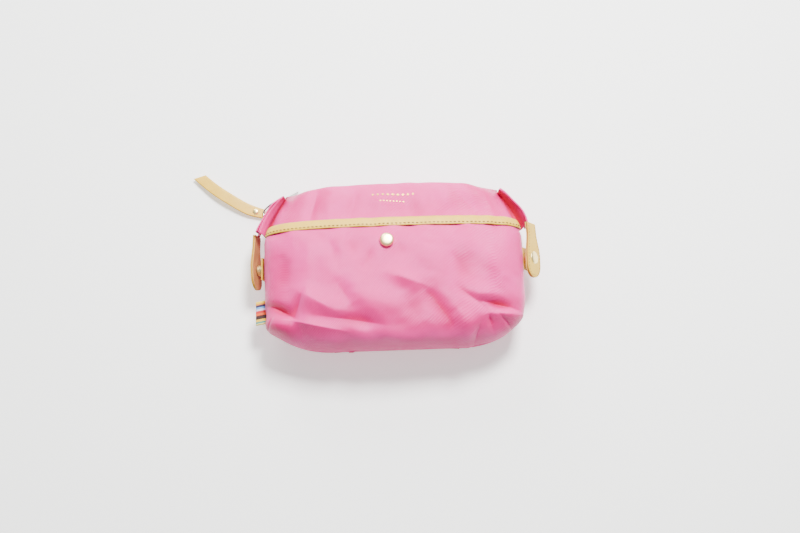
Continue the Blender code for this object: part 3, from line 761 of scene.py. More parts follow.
class Wardrobe:
    """Builds each finish once and dresses pieces in it."""

    def __init__(self) -> None:
        """Build every finish."""
        effects = Effects()
        # The recess colours, and the shade colour's default, are painted shade for creases, recesses and
        # slopes turned from the light.
        pink = {"light": (0.78, 0.045, 0.29), "deep": (0.68, 0.012, 0.18), "recess_shade": (0.62, 0.0, 0.09)}
        specs = {
            Finish.CLOTH: ClothFinish(Finish.CLOTH.value, **pink),
            Finish.LINING: ClothFinish(Finish.LINING.value, light=(0.74, 0.05, 0.20), deep=(0.55, 0.02, 0.12),
                                       recess_shade=(0.40, 0.0, 0.04), roughness=0.6,
                                       pattern=Pattern.OBJECT),
            Finish.TAPE: ClothFinish(Finish.TAPE.value, light=(0.88, 0.26, 0.48), deep=(0.80, 0.18, 0.38),
                                     recess_shade=(0.62, 0.0, 0.08), roughness=0.7,
                                     pattern=Pattern.OBJECT),
            Finish.COIL: LeatherFinish(Finish.COIL.value, light=(0.85, 0.22, 0.42), deep=(0.78, 0.15, 0.34),
                                       edge=(0.70, 0.10, 0.28), roughness=0.35, grain=800.0, bump=0.05),
            Finish.LEATHER: LeatherFinish(Finish.LEATHER.value, light=(0.76, 0.48, 0.03),
                                          deep=(0.70, 0.42, 0.018), edge=(0.36, 0.15, 0.004)),
            # Painted shade: a darker brown copy of the tan leather for the tabs' inner faces, where shade
            # falls; its rougher, bumpier flesh side is real.
            Finish.LEATHER_BACK: LeatherFinish(Finish.LEATHER_BACK.value, light=(0.42, 0.15, 0.05),
                                               deep=(0.32, 0.10, 0.03), edge=(0.62, 0.36, 0.06),
                                               roughness=0.75, bump=0.5),
            Finish.THREAD: LeatherFinish(Finish.THREAD.value, light=(0.28, 0.13, 0.02),
                                         deep=(0.22, 0.09, 0.01), edge=(0.16, 0.06, 0.01),
                                         roughness=0.6, grain=4000.0),
            Finish.GOLD: MetalFinish(Finish.GOLD.value, (1.0, 0.80, 0.36), (0.92, 0.68, 0.26), 0.32),
            Finish.FOIL: MetalFinish(Finish.FOIL.value, (0.80, 0.42, 0.10), (0.72, 0.34, 0.07), 0.5),
            Finish.STEEL: MetalFinish(Finish.STEEL.value, (0.34, 0.33, 0.32), (0.22, 0.21, 0.20), 0.16),
            Finish.RIBBON: RibbonFinish(Finish.RIBBON.value, RIBBON_BANDS),
        }
        self.made = {key: spec.build(effects) for key, spec in specs.items()}

    def dress(self, piece: bpy.types.Object, finish: Finish, slot: str | None = None) -> bpy.types.Object:
        """Give a piece its finish and log it.

        Args:
            piece: the object.
            finish: its finish.
            slot: not used.
        Returns:
            The same object.
        """
        piece.data.materials.clear()
        piece.data.materials.append(self.made[finish])
        LOG.info("%s: %s, %d points", piece.name, finish.value, len(piece.data.vertices))
        return piece


# ---------------------------------------------------------------- the bag's form

@dataclass(frozen=True)
class Fold:
    """A fold in the cloth along a short line, in millimetres on the front: a ridge or a valley."""
    x0: float
    y0: float
    x1: float
    y1: float
    width: float
    rise: float
    crisp: float = 0.0

    def height(self, x: Array, y: Array) -> Array:
        """Height in metres at x, y: a bell across the line, crisper where crisp is 1, faded at its ends.

        Args:
            x: metres across the bag.
            y: metres from base to zip.
        Returns:
            The height, of the points' shape.
        """
        x, y = x / MM, y / MM
        dx, dy = self.x1 - self.x0, self.y1 - self.y0
        length = math.hypot(dx, dy)
        along = ((x - self.x0) * dx + (y - self.y0) * dy) / length
        across = (-(x - self.x0) * dy + (y - self.y0) * dx) / length
        over = np.maximum(np.maximum(-along, along - length), 0.0) / (0.6 * self.width + 2.0)
        far = np.abs(across) / self.width
        bell = (1.0 - self.crisp) * np.exp(-far ** 2) + self.crisp * np.exp(-1.6 * far)
        taper = 0.45 + 0.55 * np.sin(np.pi * np.clip(along / length, 0.0, 1.0))
        return self.rise * MM * bell * taper * np.exp(-over ** 2)


FRONT_FOLDS = (
    Fold(-99, -33, -80, -44, 5.0, -5.0, 0.8), Fold(-99, -44, -82, -52, 6.0, 3.2),
    Fold(-80, -45, -72, -26, 3.5, -2.4, 0.8), Fold(-88, 8, -85, -22, 8.0, -2.2),
    Fold(-93, -43, -40, -56, 4.0, 2.2, 0.7), Fold(-95, -42, -101, -52, 1.5, -1.2, 1.0),
    Fold(70, -37, 92, -42, 4.5, -5.4, 0.8), Fold(76, -46, 97, -45, 4.5, 3.8, 0.3),
    Fold(72, -46, 75, -56, 3.0, -2.2, 0.7), Fold(66, -54, 61, -66, 3.5, -1.8, 0.7),
    Fold(79, -45, 93, -58, 1.8, -1.2, 1.0), Fold(50, -26, 68, -40, 5.0, -2.4, 0.6),
    Fold(60, -30, 76, -32, 6.0, 1.8), Fold(-4, -12, 22, -23, 6.5, 3.0, 0.5),
    Fold(24, -27, 42, -52, 8.0, -3.6, 0.3), Fold(6, -30, 20, -52, 9.0, -1.8, 0.2),
    Fold(48, -42, 58, -58, 7.0, 2.2), Fold(-58, -44, -14, -52, 6.0, -2.6, 0.4),
    Fold(-74, -24, -48, -40, 8.0, 2.8, 0.3), Fold(-30, -30, 0, -38, 9.0, 2.0),
    Fold(-44, -20, -34, -36, 7.0, -1.8, 0.3), Fold(44, 4, 60, -18, 9.0, -2.2, 0.2),
    Fold(30, 10, 26, -12, 10.0, 2.2), Fold(62, 12, 84, -14, 9.0, 2.2),
    Fold(-14, 10, -26, -10, 5.5, -2.0, 0.5), Fold(3, 12, 9, -2, 5.0, -1.6, 0.4),
    Fold(-64, 16, -70, -10, 7.0, 1.8), Fold(-50, 16, -44, -4, 6.0, -1.5, 0.4),
    Fold(-30, -58, 20, -62, 5.0, 1.6), Fold(-34, 16, -30, 4, 4.5, -1.2, 0.6),
)
LIP_FOLDS = (
    Fold(-60, 58, -66, 34, 5.0, -1.8, 0.4), Fold(-48, 56, -50, 38, 6.0, 1.4),
    Fold(-28, 58, -34, 36, 5.0, -1.6, 0.5), Fold(8, 54, 14, 34, 7.0, -1.4, 0.4),
    Fold(-10, 56, -6, 38, 7.0, 1.2), Fold(46, 54, 34, 36, 6.5, 1.4),
    Fold(54, 52, 68, 38, 6.0, -1.8, 0.5), Fold(24, 56, 26, 40, 7.0, 1.2),
)


@dataclass
class BagForm:
    """The bag's outer form: two shells that meet at the side seams, the base seam and the zip."""
    half_width: float
    base_y: float
    zip_y: float
    depth: float
    seam_z: float
    mouth_y: float
    zip_z: float = 20.0 * MM
    ridge_half: float = 86.0 * MM
    corner_x: float = 55.0 * MM
    corner_y: float = 40.0 * MM
    corner_round: float = 2.3
    shoulder_y: float = 20.0 * MM
    shoulder_round: float = 1.3
    side_power: float = 0.72
    crown_power: float = 0.62
    back_flat: float = 0.74
    back_round: float = 2.4
    lip_puff: float = 7.4 * MM
    corner_puff: float = 4.5 * MM
    corner_puff_y: float = -50.0 * MM
    corner_puff_reach: float = 6.0 * MM
    mouth_side: tuple[float, float] = (76.0 * MM, 40.0 * MM)
    wall: float = 0.3 * MM
    mouth_gap: float = 1.2 * MM
    inside: Array = field(default_factory=lambda: np.array([0.0, 0.0, 26.0]) * MM)

    @classmethod
    def from_frame(cls) -> "BagForm":
        """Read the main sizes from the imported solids."""
        low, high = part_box("front_panel")
        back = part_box("back_panel")
        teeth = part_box("back_teeth")
        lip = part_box("front_lip")
        return cls(half_width=high.x, base_y=low.y + cls.wall, zip_y=0.5 * (teeth[0].y + teeth[1].y),
                   depth=high.z, seam_z=back[1].z + cls.wall, mouth_y=lip[0].y - cls.mouth_gap)

    def front_profile(self) -> Array:
        """Crown line of the front, (y, z), from the base seam to the zip tape."""
        base, top, mouth = self.base_y, self.zip_y, self.mouth_y
        return np.array([
            (base, self.seam_z), (base + 1.5 * MM, self.seam_z + 14 * MM),
            (base + 7 * MM, self.depth - 8 * MM), (base + 20 * MM, self.depth - 2 * MM),
            (base + 45 * MM, self.depth), (mouth - 20 * MM, self.depth - 1 * MM),
            (mouth, self.depth - 6 * MM), (top - 10 * MM, self.zip_z + 24 * MM),
            (top + 0.5 * MM, self.zip_z + 15 * MM), (top + 1.4 * MM, self.zip_z + 6.4 * MM)])

    def back_profile(self) -> Array:
        """Crown line of the back, (y, z), from the base seam to the zip tape."""
        base, top = self.base_y, self.zip_y
        return np.array([
            (base, self.seam_z), (base + 1.5 * MM, self.seam_z - 14 * MM), (base + 7 * MM, 2.5 * MM),
            (-50 * MM, 0.0), (-20 * MM, 0.0), (5 * MM, 0.0), (26 * MM, 0.0),
            (top - 16 * MM, self.zip_z - 14 * MM), (top - 3 * MM, self.zip_z - 10 * MM),
            (top + 1.4 * MM, self.zip_z - 7.4 * MM)])

    def shoulder_at(self, y: Array) -> Array:
        """Share of the way from the shoulders to the zip at y."""
        return np.clip((y - self.shoulder_y) / (self.zip_y - self.shoulder_y), 0.0, 1.0)

    def width_at(self, y: Array) -> Array:
        """Half width at y: a superellipse base corner and slanted shoulders.

        Args:
            y: metres from base to zip.
        Returns:
            Half the width there.
        """
        fall = np.clip((self.base_y + self.corner_y - y) / self.corner_y, 0.0, 1.0)
        corner = self.corner_x * (1.0 - (1.0 - fall ** self.corner_round) ** (1.0 / self.corner_round))
        slant = (self.half_width - self.ridge_half) * self.shoulder_at(y) ** self.shoulder_round
        return self.half_width - corner - slant

    def seam_at(self, y: Array) -> Array:
        """Height of the side seam at y."""
        rise = smooth(y, self.shoulder_y, self.zip_y)
        return self.seam_z + (self.zip_z - self.seam_z) * rise

    def front(self, angle: Array, share: Array, lift: float = 0.0) -> Array:
        """Points of the front shell: a superellipse section in x and z at each y.

        Args:
            angle: radians round the section, 0 at the right seam and pi at the left.
            share: places along the front profile.
            lift: distance outwards from the shell.
        Returns:
            Points of the broadcast shape of angle and share.
        """
        line = catmull(self.front_profile(), share)
        y, crown = line[..., 0], line[..., 1]
        seam = self.seam_at(y)
        sine = np.maximum(np.sin(angle), 0.0)
        x = self.width_at(y) * signed_power(np.cos(angle), self.side_power)
        z = seam + np.maximum(crown - seam, 0.5 * MM) * sine ** self.crown_power
        grid = np.stack(np.broadcast_arrays(x, y, z), -1)
        return grid + grid_normals(grid, self.inside) * lift if lift else grid

    def back(self, angle: Array, share: Array) -> Array:
        """Points of the back shell: a flat that turns up by a superellipse at the sides.

        Args:
            angle: radians round the section, 0 at the right seam and pi at the left.
            share: places along the back profile.
        Returns:
            Points of the broadcast shape of angle and share.
        """
        line = catmull(self.back_profile(), share)
        y, crown = line[..., 0], np.maximum(line[..., 1], 0.0)
        seam = self.seam_at(y)
        cosine = np.cos(angle)
        flat = self.back_flat + 0.22 * self.shoulder_at(y)
        side = np.clip((np.abs(cosine) - flat) / (1.0 - flat), 0.0, 1.0)
        fall = (1.0 - side ** self.back_round) ** (1.0 / self.back_round)
        z = seam - np.maximum(seam - crown, 0.5 * MM) * fall
        return np.stack(np.broadcast_arrays(self.width_at(y) * cosine, y, z), -1)

    def puffed(self, grid: Array) -> Array:
        """Front points pushed out over the zip in the middle of the lip, and at the left base corner.

        Args:
            grid: (rows, columns, 3) points of the front shell.
        Returns:
            The pushed points.
        """
        x, y, z = grid[..., 0], grid[..., 1], grid[..., 2]
        middle = np.clip(1.0 - (x / self.ridge_half) ** 8, 0.0, 1.0)
        lip = smooth(y, self.mouth_y, self.zip_y) * smooth(z, self.seam_z, self.seam_z + 12 * MM)
        push = self.lip_puff * middle * lip
        bell = np.exp(-((y - self.corner_puff_y) / self.corner_puff_reach) ** 2)
        corner = self.corner_puff * bell * smooth(-x, 60 * MM, 98 * MM)
        return grid + np.stack([-corner, 0.75 * push, 0.65 * push], -1)

    def share_at(self, profile: Array, y: float) -> float:
        """Share of the way along a profile at which it reaches y.

        Args:
            profile: (n, 2) y and z.
            y: metres from base to zip.
        Returns:
            The share, from 0 to 1.
        """
        shares = np.linspace(0.0, 1.0, 2001)
        line = catmull(profile, shares)[:, 0]
        return float(shares[int(np.argmax(line >= y))])

    def mouth_weight(self, points: Array) -> Array:
        """How far the lip carries a point: none below the fold line or at the zip's ends.

        Args:
            points: points with x, y, z last.
        Returns:
            The weight of each, from 0 to 1.
        """
        x, y = np.abs(points[..., 0]), points[..., 1]
        return smooth(y, self.mouth_y - 2 * MM, self.mouth_y + 4 * MM) * smooth(x, *self.mouth_side)


def crumple(x: Array, y: Array, seed: int, size: float, count: int = 9) -> Array:
    """Fine crumpling, -1 to 1: folded waves of several directions, each bent by a slower wave.

    Args:
        x: metres across the bag.
        y: metres from base to zip.
        seed: of the random directions.
        size: metres of a middling wave.
        count: waves added up.
    Returns:
        The height, of the points' shape.
    """
    rng = np.random.default_rng(seed)
    total = np.zeros(np.broadcast(x, y).shape)
    for _ in range(count):
        turn, phase, bow = rng.uniform(0.0, np.pi), rng.uniform(0.0, 6.3), rng.uniform(0.0, 6.3)
        pitch = size * rng.uniform(0.7, 1.9)
        run = x * math.cos(turn) + y * math.sin(turn)
        cross = -x * math.sin(turn) + y * math.cos(turn)
        wave = np.sin(run / pitch * 2 * np.pi + phase + 1.6 * np.sin(cross / pitch * 2.3 + bow))
        patch = 0.5 + 0.5 * np.sin(cross / pitch * 1.7 + run / pitch * 1.1 + phase * 2)
        total += (0.7 - 1.4 * wave ** 2) * patch
    return total / (0.5 * count)


@dataclass(frozen=True)
class Relief:
    """Folds of one cloth: those listed, and fine crumpling of a height, a seed and two sizes."""
    folds: tuple[Fold, ...]
    crumpling: float
    seed: int
    broad: float = 52.0 * MM
    fine: float = 20.0 * MM
    fine_share: float = 0.12

    def height(self, x: Array, y: Array) -> Array:
        """Height in metres at x, y: the sum of the folds and of the two sizes of crumpling."""
        total = sum((fold.height(x, y) for fold in self.folds), np.zeros(np.broadcast(x, y).shape))
        total = total + self.crumpling * crumple(x, y, self.seed, self.broad)
        return total + self.fine_share * self.crumpling * crumple(x, y, self.seed + 1, self.fine)


POCKET_RELIEF = Relief(FRONT_FOLDS, 1.6 * MM, 11)
LIP_RELIEF = Relief(LIP_FOLDS, 0.9 * MM, 5)
BACK_RELIEF = Relief((), 0.7 * MM, 21)


def folded(grid: Array, relief: Relief, inside: Array, fade: Array | float = 1.0) -> tuple[Array, Array]:
    """A grid moved along its normals by its relief.

    Args:
        grid: (rows, columns, 3) points.
        relief: the folds and the crumpling.
        inside: a point inside the bag.
        fade: share of the relief kept at each point.
    Returns:
        The moved grid and the height at each point.
    """
    height = relief.height(grid[..., 0], grid[..., 1]) * fade
    return grid + grid_normals(grid, inside) * height[..., None], height


def sunk(grid: Array, inside: Array, mouth_y: float) -> Array:
    """A grid pressed in wherever the pocket cloth over it dips, so that it stays underneath.

    Args:
        grid: (rows, columns, 3) points under the pocket.
        inside: a point inside the bag.
        mouth_y: y of the pocket's mouth; the pressing fades out across it.
    Returns:
        The moved grid.
    """
    under = smooth(grid[..., 1], mouth_y + 6 * MM, mouth_y - 6 * MM)
    dip = np.minimum(POCKET_RELIEF.height(grid[..., 0], grid[..., 1]), 0.0) * under
    return grid + grid_normals(grid, inside) * dip[..., None]


def mark(piece: bpy.types.Object, name: str, values: Array) -> None:
    """Store a value for each point of a piece, which its finish reads.

    Args:
        piece: the object.
        name: the attribute's name.
        values: one value for each point.
    """
    attribute = piece.data.attributes.new(name, "FLOAT", "POINT")
    attribute.data.foreach_set("value", np.ascontiguousarray(values.ravel(), np.float32))


@dataclass
class Body:
    """Back cloth, front cloth with its opening lip, linings, seam welts and the foil ornament."""
    form: BagForm
    wardrobe: Wardrobe
    cloth: float = 0.8 * MM
    columns: int = 200
    rows: int = 150
    welt_radius: float = 0.9 * MM
    lining_gap: float = 2.2 * MM
    lining: float = 0.4 * MM
    foil_lift: float = 0.35 * MM

    def angles(self, count: int, low: float = 0.0, high: float = math.pi) -> Array:
        """Even angles round a section, as a row."""
        return np.linspace(low, high, count)[None, :]

    def back(self) -> None:
        """Back cloth: the back shell with slow waves where it doesn't rest."""
        share = np.linspace(0.0, 1.0, self.rows)[:, None]
        grid = self.form.back(self.angles(self.columns), share)
        lifted = smooth(grid[..., 2], 0.5 * MM, 8 * MM)
        edge = np.sin(np.pi * share) ** 0.5
        grid, _ = folded(grid, BACK_RELIEF, self.form.inside, lifted * edge)
        piece = sheet_object("back_cloth", grid, self.form.inside, self.cloth)
        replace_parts(self.wardrobe.dress(piece, Finish.CLOTH, "cloth"), "back_panel")
        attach(piece, "root")

    def front(self) -> None:
        """Front cloth from the base seam to the zip, with shoulders that run into the ears."""
        share = np.linspace(0.0, 1.0, self.rows)[:, None]
        grid = self.form.front(self.angles(self.columns), share)
        above = smooth(grid[..., 1], self.form.mouth_y - 6 * MM, self.form.mouth_y + 6 * MM)
        calm = 0.25 + 0.75 * smooth(share, 1.0, 0.93)
        grid, _ = folded(self.form.puffed(grid), LIP_RELIEF, self.form.inside, above * calm)
        grid = sunk(grid, self.form.inside, self.form.mouth_y)
        piece = sheet_object("front_cloth", grid, self.form.inside, self.cloth)
        # Painted shade through the fold attribute: the lip's sides near the ridge ends and the seam, and
        # slopes that turn sideways from the light.
        side = smooth(np.abs(grid[..., 0]), self.form.ridge_half - 9 * MM, self.form.ridge_half + 6 * MM)
        low = smooth(grid[..., 2], self.form.seam_z + 10 * MM, self.form.seam_z - 2 * MM)
        slope = np.clip(np.abs(grid_normals(grid, self.form.inside)[..., 0]) * 0.9 - 0.05, 0.0, 0.3)
        mark(piece, "fold", np.clip(0.7 * side * above * low + slope * (1.0 - side), 0.0, 1.0))
        self.wardrobe.dress(piece, Finish.CLOTH, "cloth")
        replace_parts(piece, "front_panel", "front_lip", "left_gusset_fold", "right_gusset_fold")
        bend(piece, self.form.mouth_weight(grid))

    def linings(self) -> None:
        """Lining inside the back and inside the front, which shows when the mouth opens."""
        share = np.linspace(0.03, 0.985, 60)[:, None]
        angle = self.angles(90, 0.06, math.pi - 0.06)
        for name, shell, nodes in (("back_inner", self.form.back, ("back_lining",)),
                                   ("front_inner", self.form.front, ("front_lining", "lip_lining"))):
            grid = shell(angle, share)
            grid = grid - grid_normals(grid, self.form.inside) * self.lining_gap
            opens = name == "front_inner"
            if opens:
                grid = sunk(grid, self.form.inside, self.form.mouth_y)
            piece = sheet_object(name, grid, self.form.inside, self.lining)
            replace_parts(self.wardrobe.dress(piece, Finish.LINING, "lining"), *nodes)
            if opens:
                bend(piece, self.form.mouth_weight(grid))
            else:
                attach(piece, "root")

    def welts(self) -> None:
        """Narrow welts along the side seams and the base seam, where the shells meet."""
        turn = np.linspace(0.0, 1.0, 260)
        y_line = catmull(self.form.front_profile(), turn * 0.72)[:, 0]
        right = np.stack([self.form.width_at(y_line) + 0.1 * MM, y_line, self.form.seam_at(y_line)], -1)
        across = np.linspace(-1.0, 1.0, 80) * right[0, 0]
        base = np.stack(np.broadcast_arrays(across, right[0, 1] - 0.2 * MM, self.form.seam_z), -1)
        left = right * np.array([-1.0, 1.0, 1.0])
        path = np.concatenate([left[::-1], base[1:-1], right])
        piece = tube_object("seam_welt", path, self.welt_radius, 8)
        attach(self.wardrobe.dress(piece, Finish.CLOTH, "cloth"), "root")

    def ornament(self) -> None:
        """Small generic foil ornament on the lip: lozenges and dots in two short rows."""
        shapes = [(-15.0 + 4.0 * k, 50.0, 1.5 - 0.15 * abs(k - 4), 0.9) for k in range(9)]
        shapes += [(-9.0 + 2.6 * k, 45.4, 0.8, 0.45) for k in range(8)]
        corners = np.array([(1, 0), (0, 1), (-1, 0), (0, -1)], float)
        sizes = np.array(shapes)
        flat = (sizes[:, None, :2] + corners * sizes[:, None, 2:]).reshape(-1, 2) * MM
        faces = np.arange(len(flat)).reshape(-1, len(corners))
        piece = make_object("foil_ornament", self.on_lip(flat, self.foil_lift), faces)
        self.wardrobe.dress(piece, Finish.FOIL, "gold")
        bend(piece, self.form.mouth_weight(points_of(piece)))

    def on_lip(self, flat: Array, lift: float) -> Array:
        """Points of the folded lip over given x and y, lifted a little.

        Args:
            flat: (n, 2) x and y.
            lift: height over the cloth.
        Returns:
            (n, 3) points.
        """
        profile = self.form.front_profile()
        shares = np.linspace(0.0, 0.9, 1500)
        share = np.interp(flat[:, 1], catmull(profile, shares)[:, 0], shares)
        reach = np.clip(flat[:, 0] / self.form.width_at(flat[:, 1]), -1.0, 1.0)
        angle = np.arccos(signed_power(reach, 1.0 / self.form.side_power))
        point = self.form.puffed(self.form.front(angle, share))
        height = LIP_RELIEF.height(point[:, 0], point[:, 1])
        normal = np.array([0.0, 0.42, 0.91])
        return point + normal * (height + lift)[:, None]

    def build(self) -> None:
        """Build every piece of the body."""
        self.back()
        self.front()
        self.linings()
        self.welts()
        self.ornament()


@dataclass
class Pocket:
    """Front pocket: its cloth, the leather binding with its stitches, and the press stud's cap."""
    form: BagForm
    wardrobe: Wardrobe
    lift: float = 1.5 * MM
    binding_height: float = 8.0 * MM
    binding_bow: float = 0.5 * MM
    binding_rise: float = 2.8 * MM
    binding_span: tuple[float, float] = (21.0 * MM, 31.0 * MM)
    cap_radius: float = 5.5 * MM
    cap_height: float = 2.4 * MM
    cloth_wall: float = 0.8 * MM
    binding_wall: float = 1.6 * MM
    binding_swell: float = 0.9 * MM
    stitch: tuple[float, float, float] = (3.3 * MM, 2.2 * MM, 0.9 * MM)
    stitch_row: int = 3
    side: tuple[float, float] = (88.0 * MM, 52.0 * MM)
    columns: int = 260
    rows: int = 190

    def weight(self, points: Array) -> Array:
        """How far the pocket carries a point: all of it in the middle, none at the side seams.

        Args:
            points: points with x, y, z last.
        Returns:
            The weight of each, from 0 to 1.
        """
        x, y = np.abs(points[..., 0]), points[..., 1]
        return smooth(x, *self.side) * smooth(y, -46 * MM, -38 * MM)

    def top_share(self, angle: Array) -> Array:
        """Share of the front profile where the binding starts: it bows up in the middle.

        Args:
            angle: radians round the section.
        Returns:
            The share at each angle.
        """
        profile = self.form.front_profile()
        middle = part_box("pocket_binding")[0].y
        low = self.form.share_at(profile, middle + self.binding_rise - self.binding_bow)
        high = self.form.share_at(profile, middle + self.binding_rise)
        return low + (high - low) * np.sin(angle) ** 0.8

    def cloth(self) -> None:
        """Pocket cloth over the whole front below the binding, with the listed folds."""
        angle = np.linspace(0.004, math.pi - 0.004, self.columns)[None, :]
        part = np.linspace(0.0, 1.0, self.rows)[:, None]
        share = part * (self.top_share(angle) + 0.012)
        grid = self.form.puffed(self.form.front(angle, share, self.lift))
        ends = smooth(part, 0.0, 0.08) * smooth(np.sin(angle), 0.0, 0.10)
        grid, height = folded(grid, POCKET_RELIEF, self.form.inside, ends)
        piece = sheet_object("pocket_cloth", grid, self.form.inside, self.cloth_wall)
        # Painted shade through the fold attribute: the fold valleys, the band near the base, slopes that face
        # down towards the base, and the left flank.
        base = 0.3 * smooth(share, 0.24, 0.12) + 0.5 * smooth(share, 0.035, 0.0)
        down = np.clip(-grid_normals(grid, self.form.inside)[..., 1] * 2.2 - 0.10, 0.0, 0.6)
        front = smooth(share, 0.2, 0.3)
        flank = 0.24 * smooth(-grid[..., 0], 70 * MM, 96 * MM) * smooth(grid[..., 1], 20 * MM, 5 * MM)
        shade = smooth(height, -0.4 * MM, -4.6 * MM) * 0.7 + base + 0.6 * down * front + flank
        mark(piece, "fold", np.clip(shade, 0.0, 1.0))
        self.wardrobe.dress(piece, Finish.CLOTH, "cloth")
        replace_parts(piece, "pocket_panel", "pocket_lining")
        bend(piece, self.weight(grid))

    def strip(self, low: float, high: float, lift: float, rows: int, swell: float) -> Array:
        """Grid of a strip along the pocket's top: low to high above the binding's lower edge.

        Args:
            low: metres from the binding's lower edge to the strip's.
            high: metres to its upper edge.
            lift: height over the shell.
            rows: points up the strip.
            swell: height of its padded middle.
        Returns:
            (rows, columns, 3) points.
        """
        angle = np.linspace(0.13, math.pi - 0.13, 240)[None, :]
        profile = self.form.front_profile()
        low_y, high_y = self.binding_span
        step = (self.form.share_at(profile, high_y) - self.form.share_at(profile, low_y)) / (high_y - low_y)
        part = np.linspace(0.0, 1.0, rows)[:, None]
        share = self.top_share(angle) + (low + (high - low) * part) * step
        grid = self.form.front(angle, share)
        normal = grid_normals(grid, self.form.inside)
        bulge = lift + swell * np.sqrt(np.clip(1.0 - (2.0 * part - 1.0) ** 4, 0.0, 1.0))
        wave = 0.6 * MM * crumple(grid[..., 0], grid[..., 1] * 0.3, 11, 30 * MM)
        return grid + normal * (bulge + wave)[..., None]

    def binding(self) -> None:
        """Leather binding folded over the pocket's edge, with a row of stitches near its lower edge."""
        grid = self.strip(0.0, self.binding_height, self.lift + 0.4 * MM, 14, self.binding_swell)
        piece = sheet_object("binding_leather", grid, self.form.inside, self.binding_wall)
        edge = np.zeros(grid.shape[:2])
        edge[0] = edge[-1] = 0.8
        mark(piece, "edge", edge)
        self.wardrobe.dress(piece, Finish.LEATHER, "leather")
        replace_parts(piece, "pocket_binding")
        bend(piece, self.weight(grid))
        normal = grid_normals(grid, self.form.inside)[self.stitch_row]
        path = grid[self.stitch_row] + normal * 0.3 * MM
        stitches = stitch_object("binding_stitches", path, normal, *self.stitch)
        self.wardrobe.dress(stitches, Finish.THREAD, "leather")
        bend(stitches, self.weight(points_of(stitches)))

    def snap(self) -> None:
        """Domed cap of the pocket's press stud, with a rolled rim."""
        low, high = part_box("pocket_snap_cap")
        centre = np.array(low + high) / 2
        centre[2] = high.z - self.cap_height
        radius = self.cap_radius
        rim = np.array([(radius * 0.97, 1.0 * MM), (radius, 0.6 * MM), (radius * 0.98, 0.1 * MM), (0.0, 0.0)])
        profile = dome_profile(radius * 0.93, 1.2 * MM, rim)
        piece = turned_object("pocket_cap", profile, centre, np.array([0.03, 0.06, 1.0]))
        self.wardrobe.dress(piece, Finish.GOLD, "gold")
        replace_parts(piece, "pocket_snap_cap")
        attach(piece, "pocket")

    def build(self) -> None:
        """Build every piece of the pocket."""
        self.cloth()
        self.binding()
        self.snap()


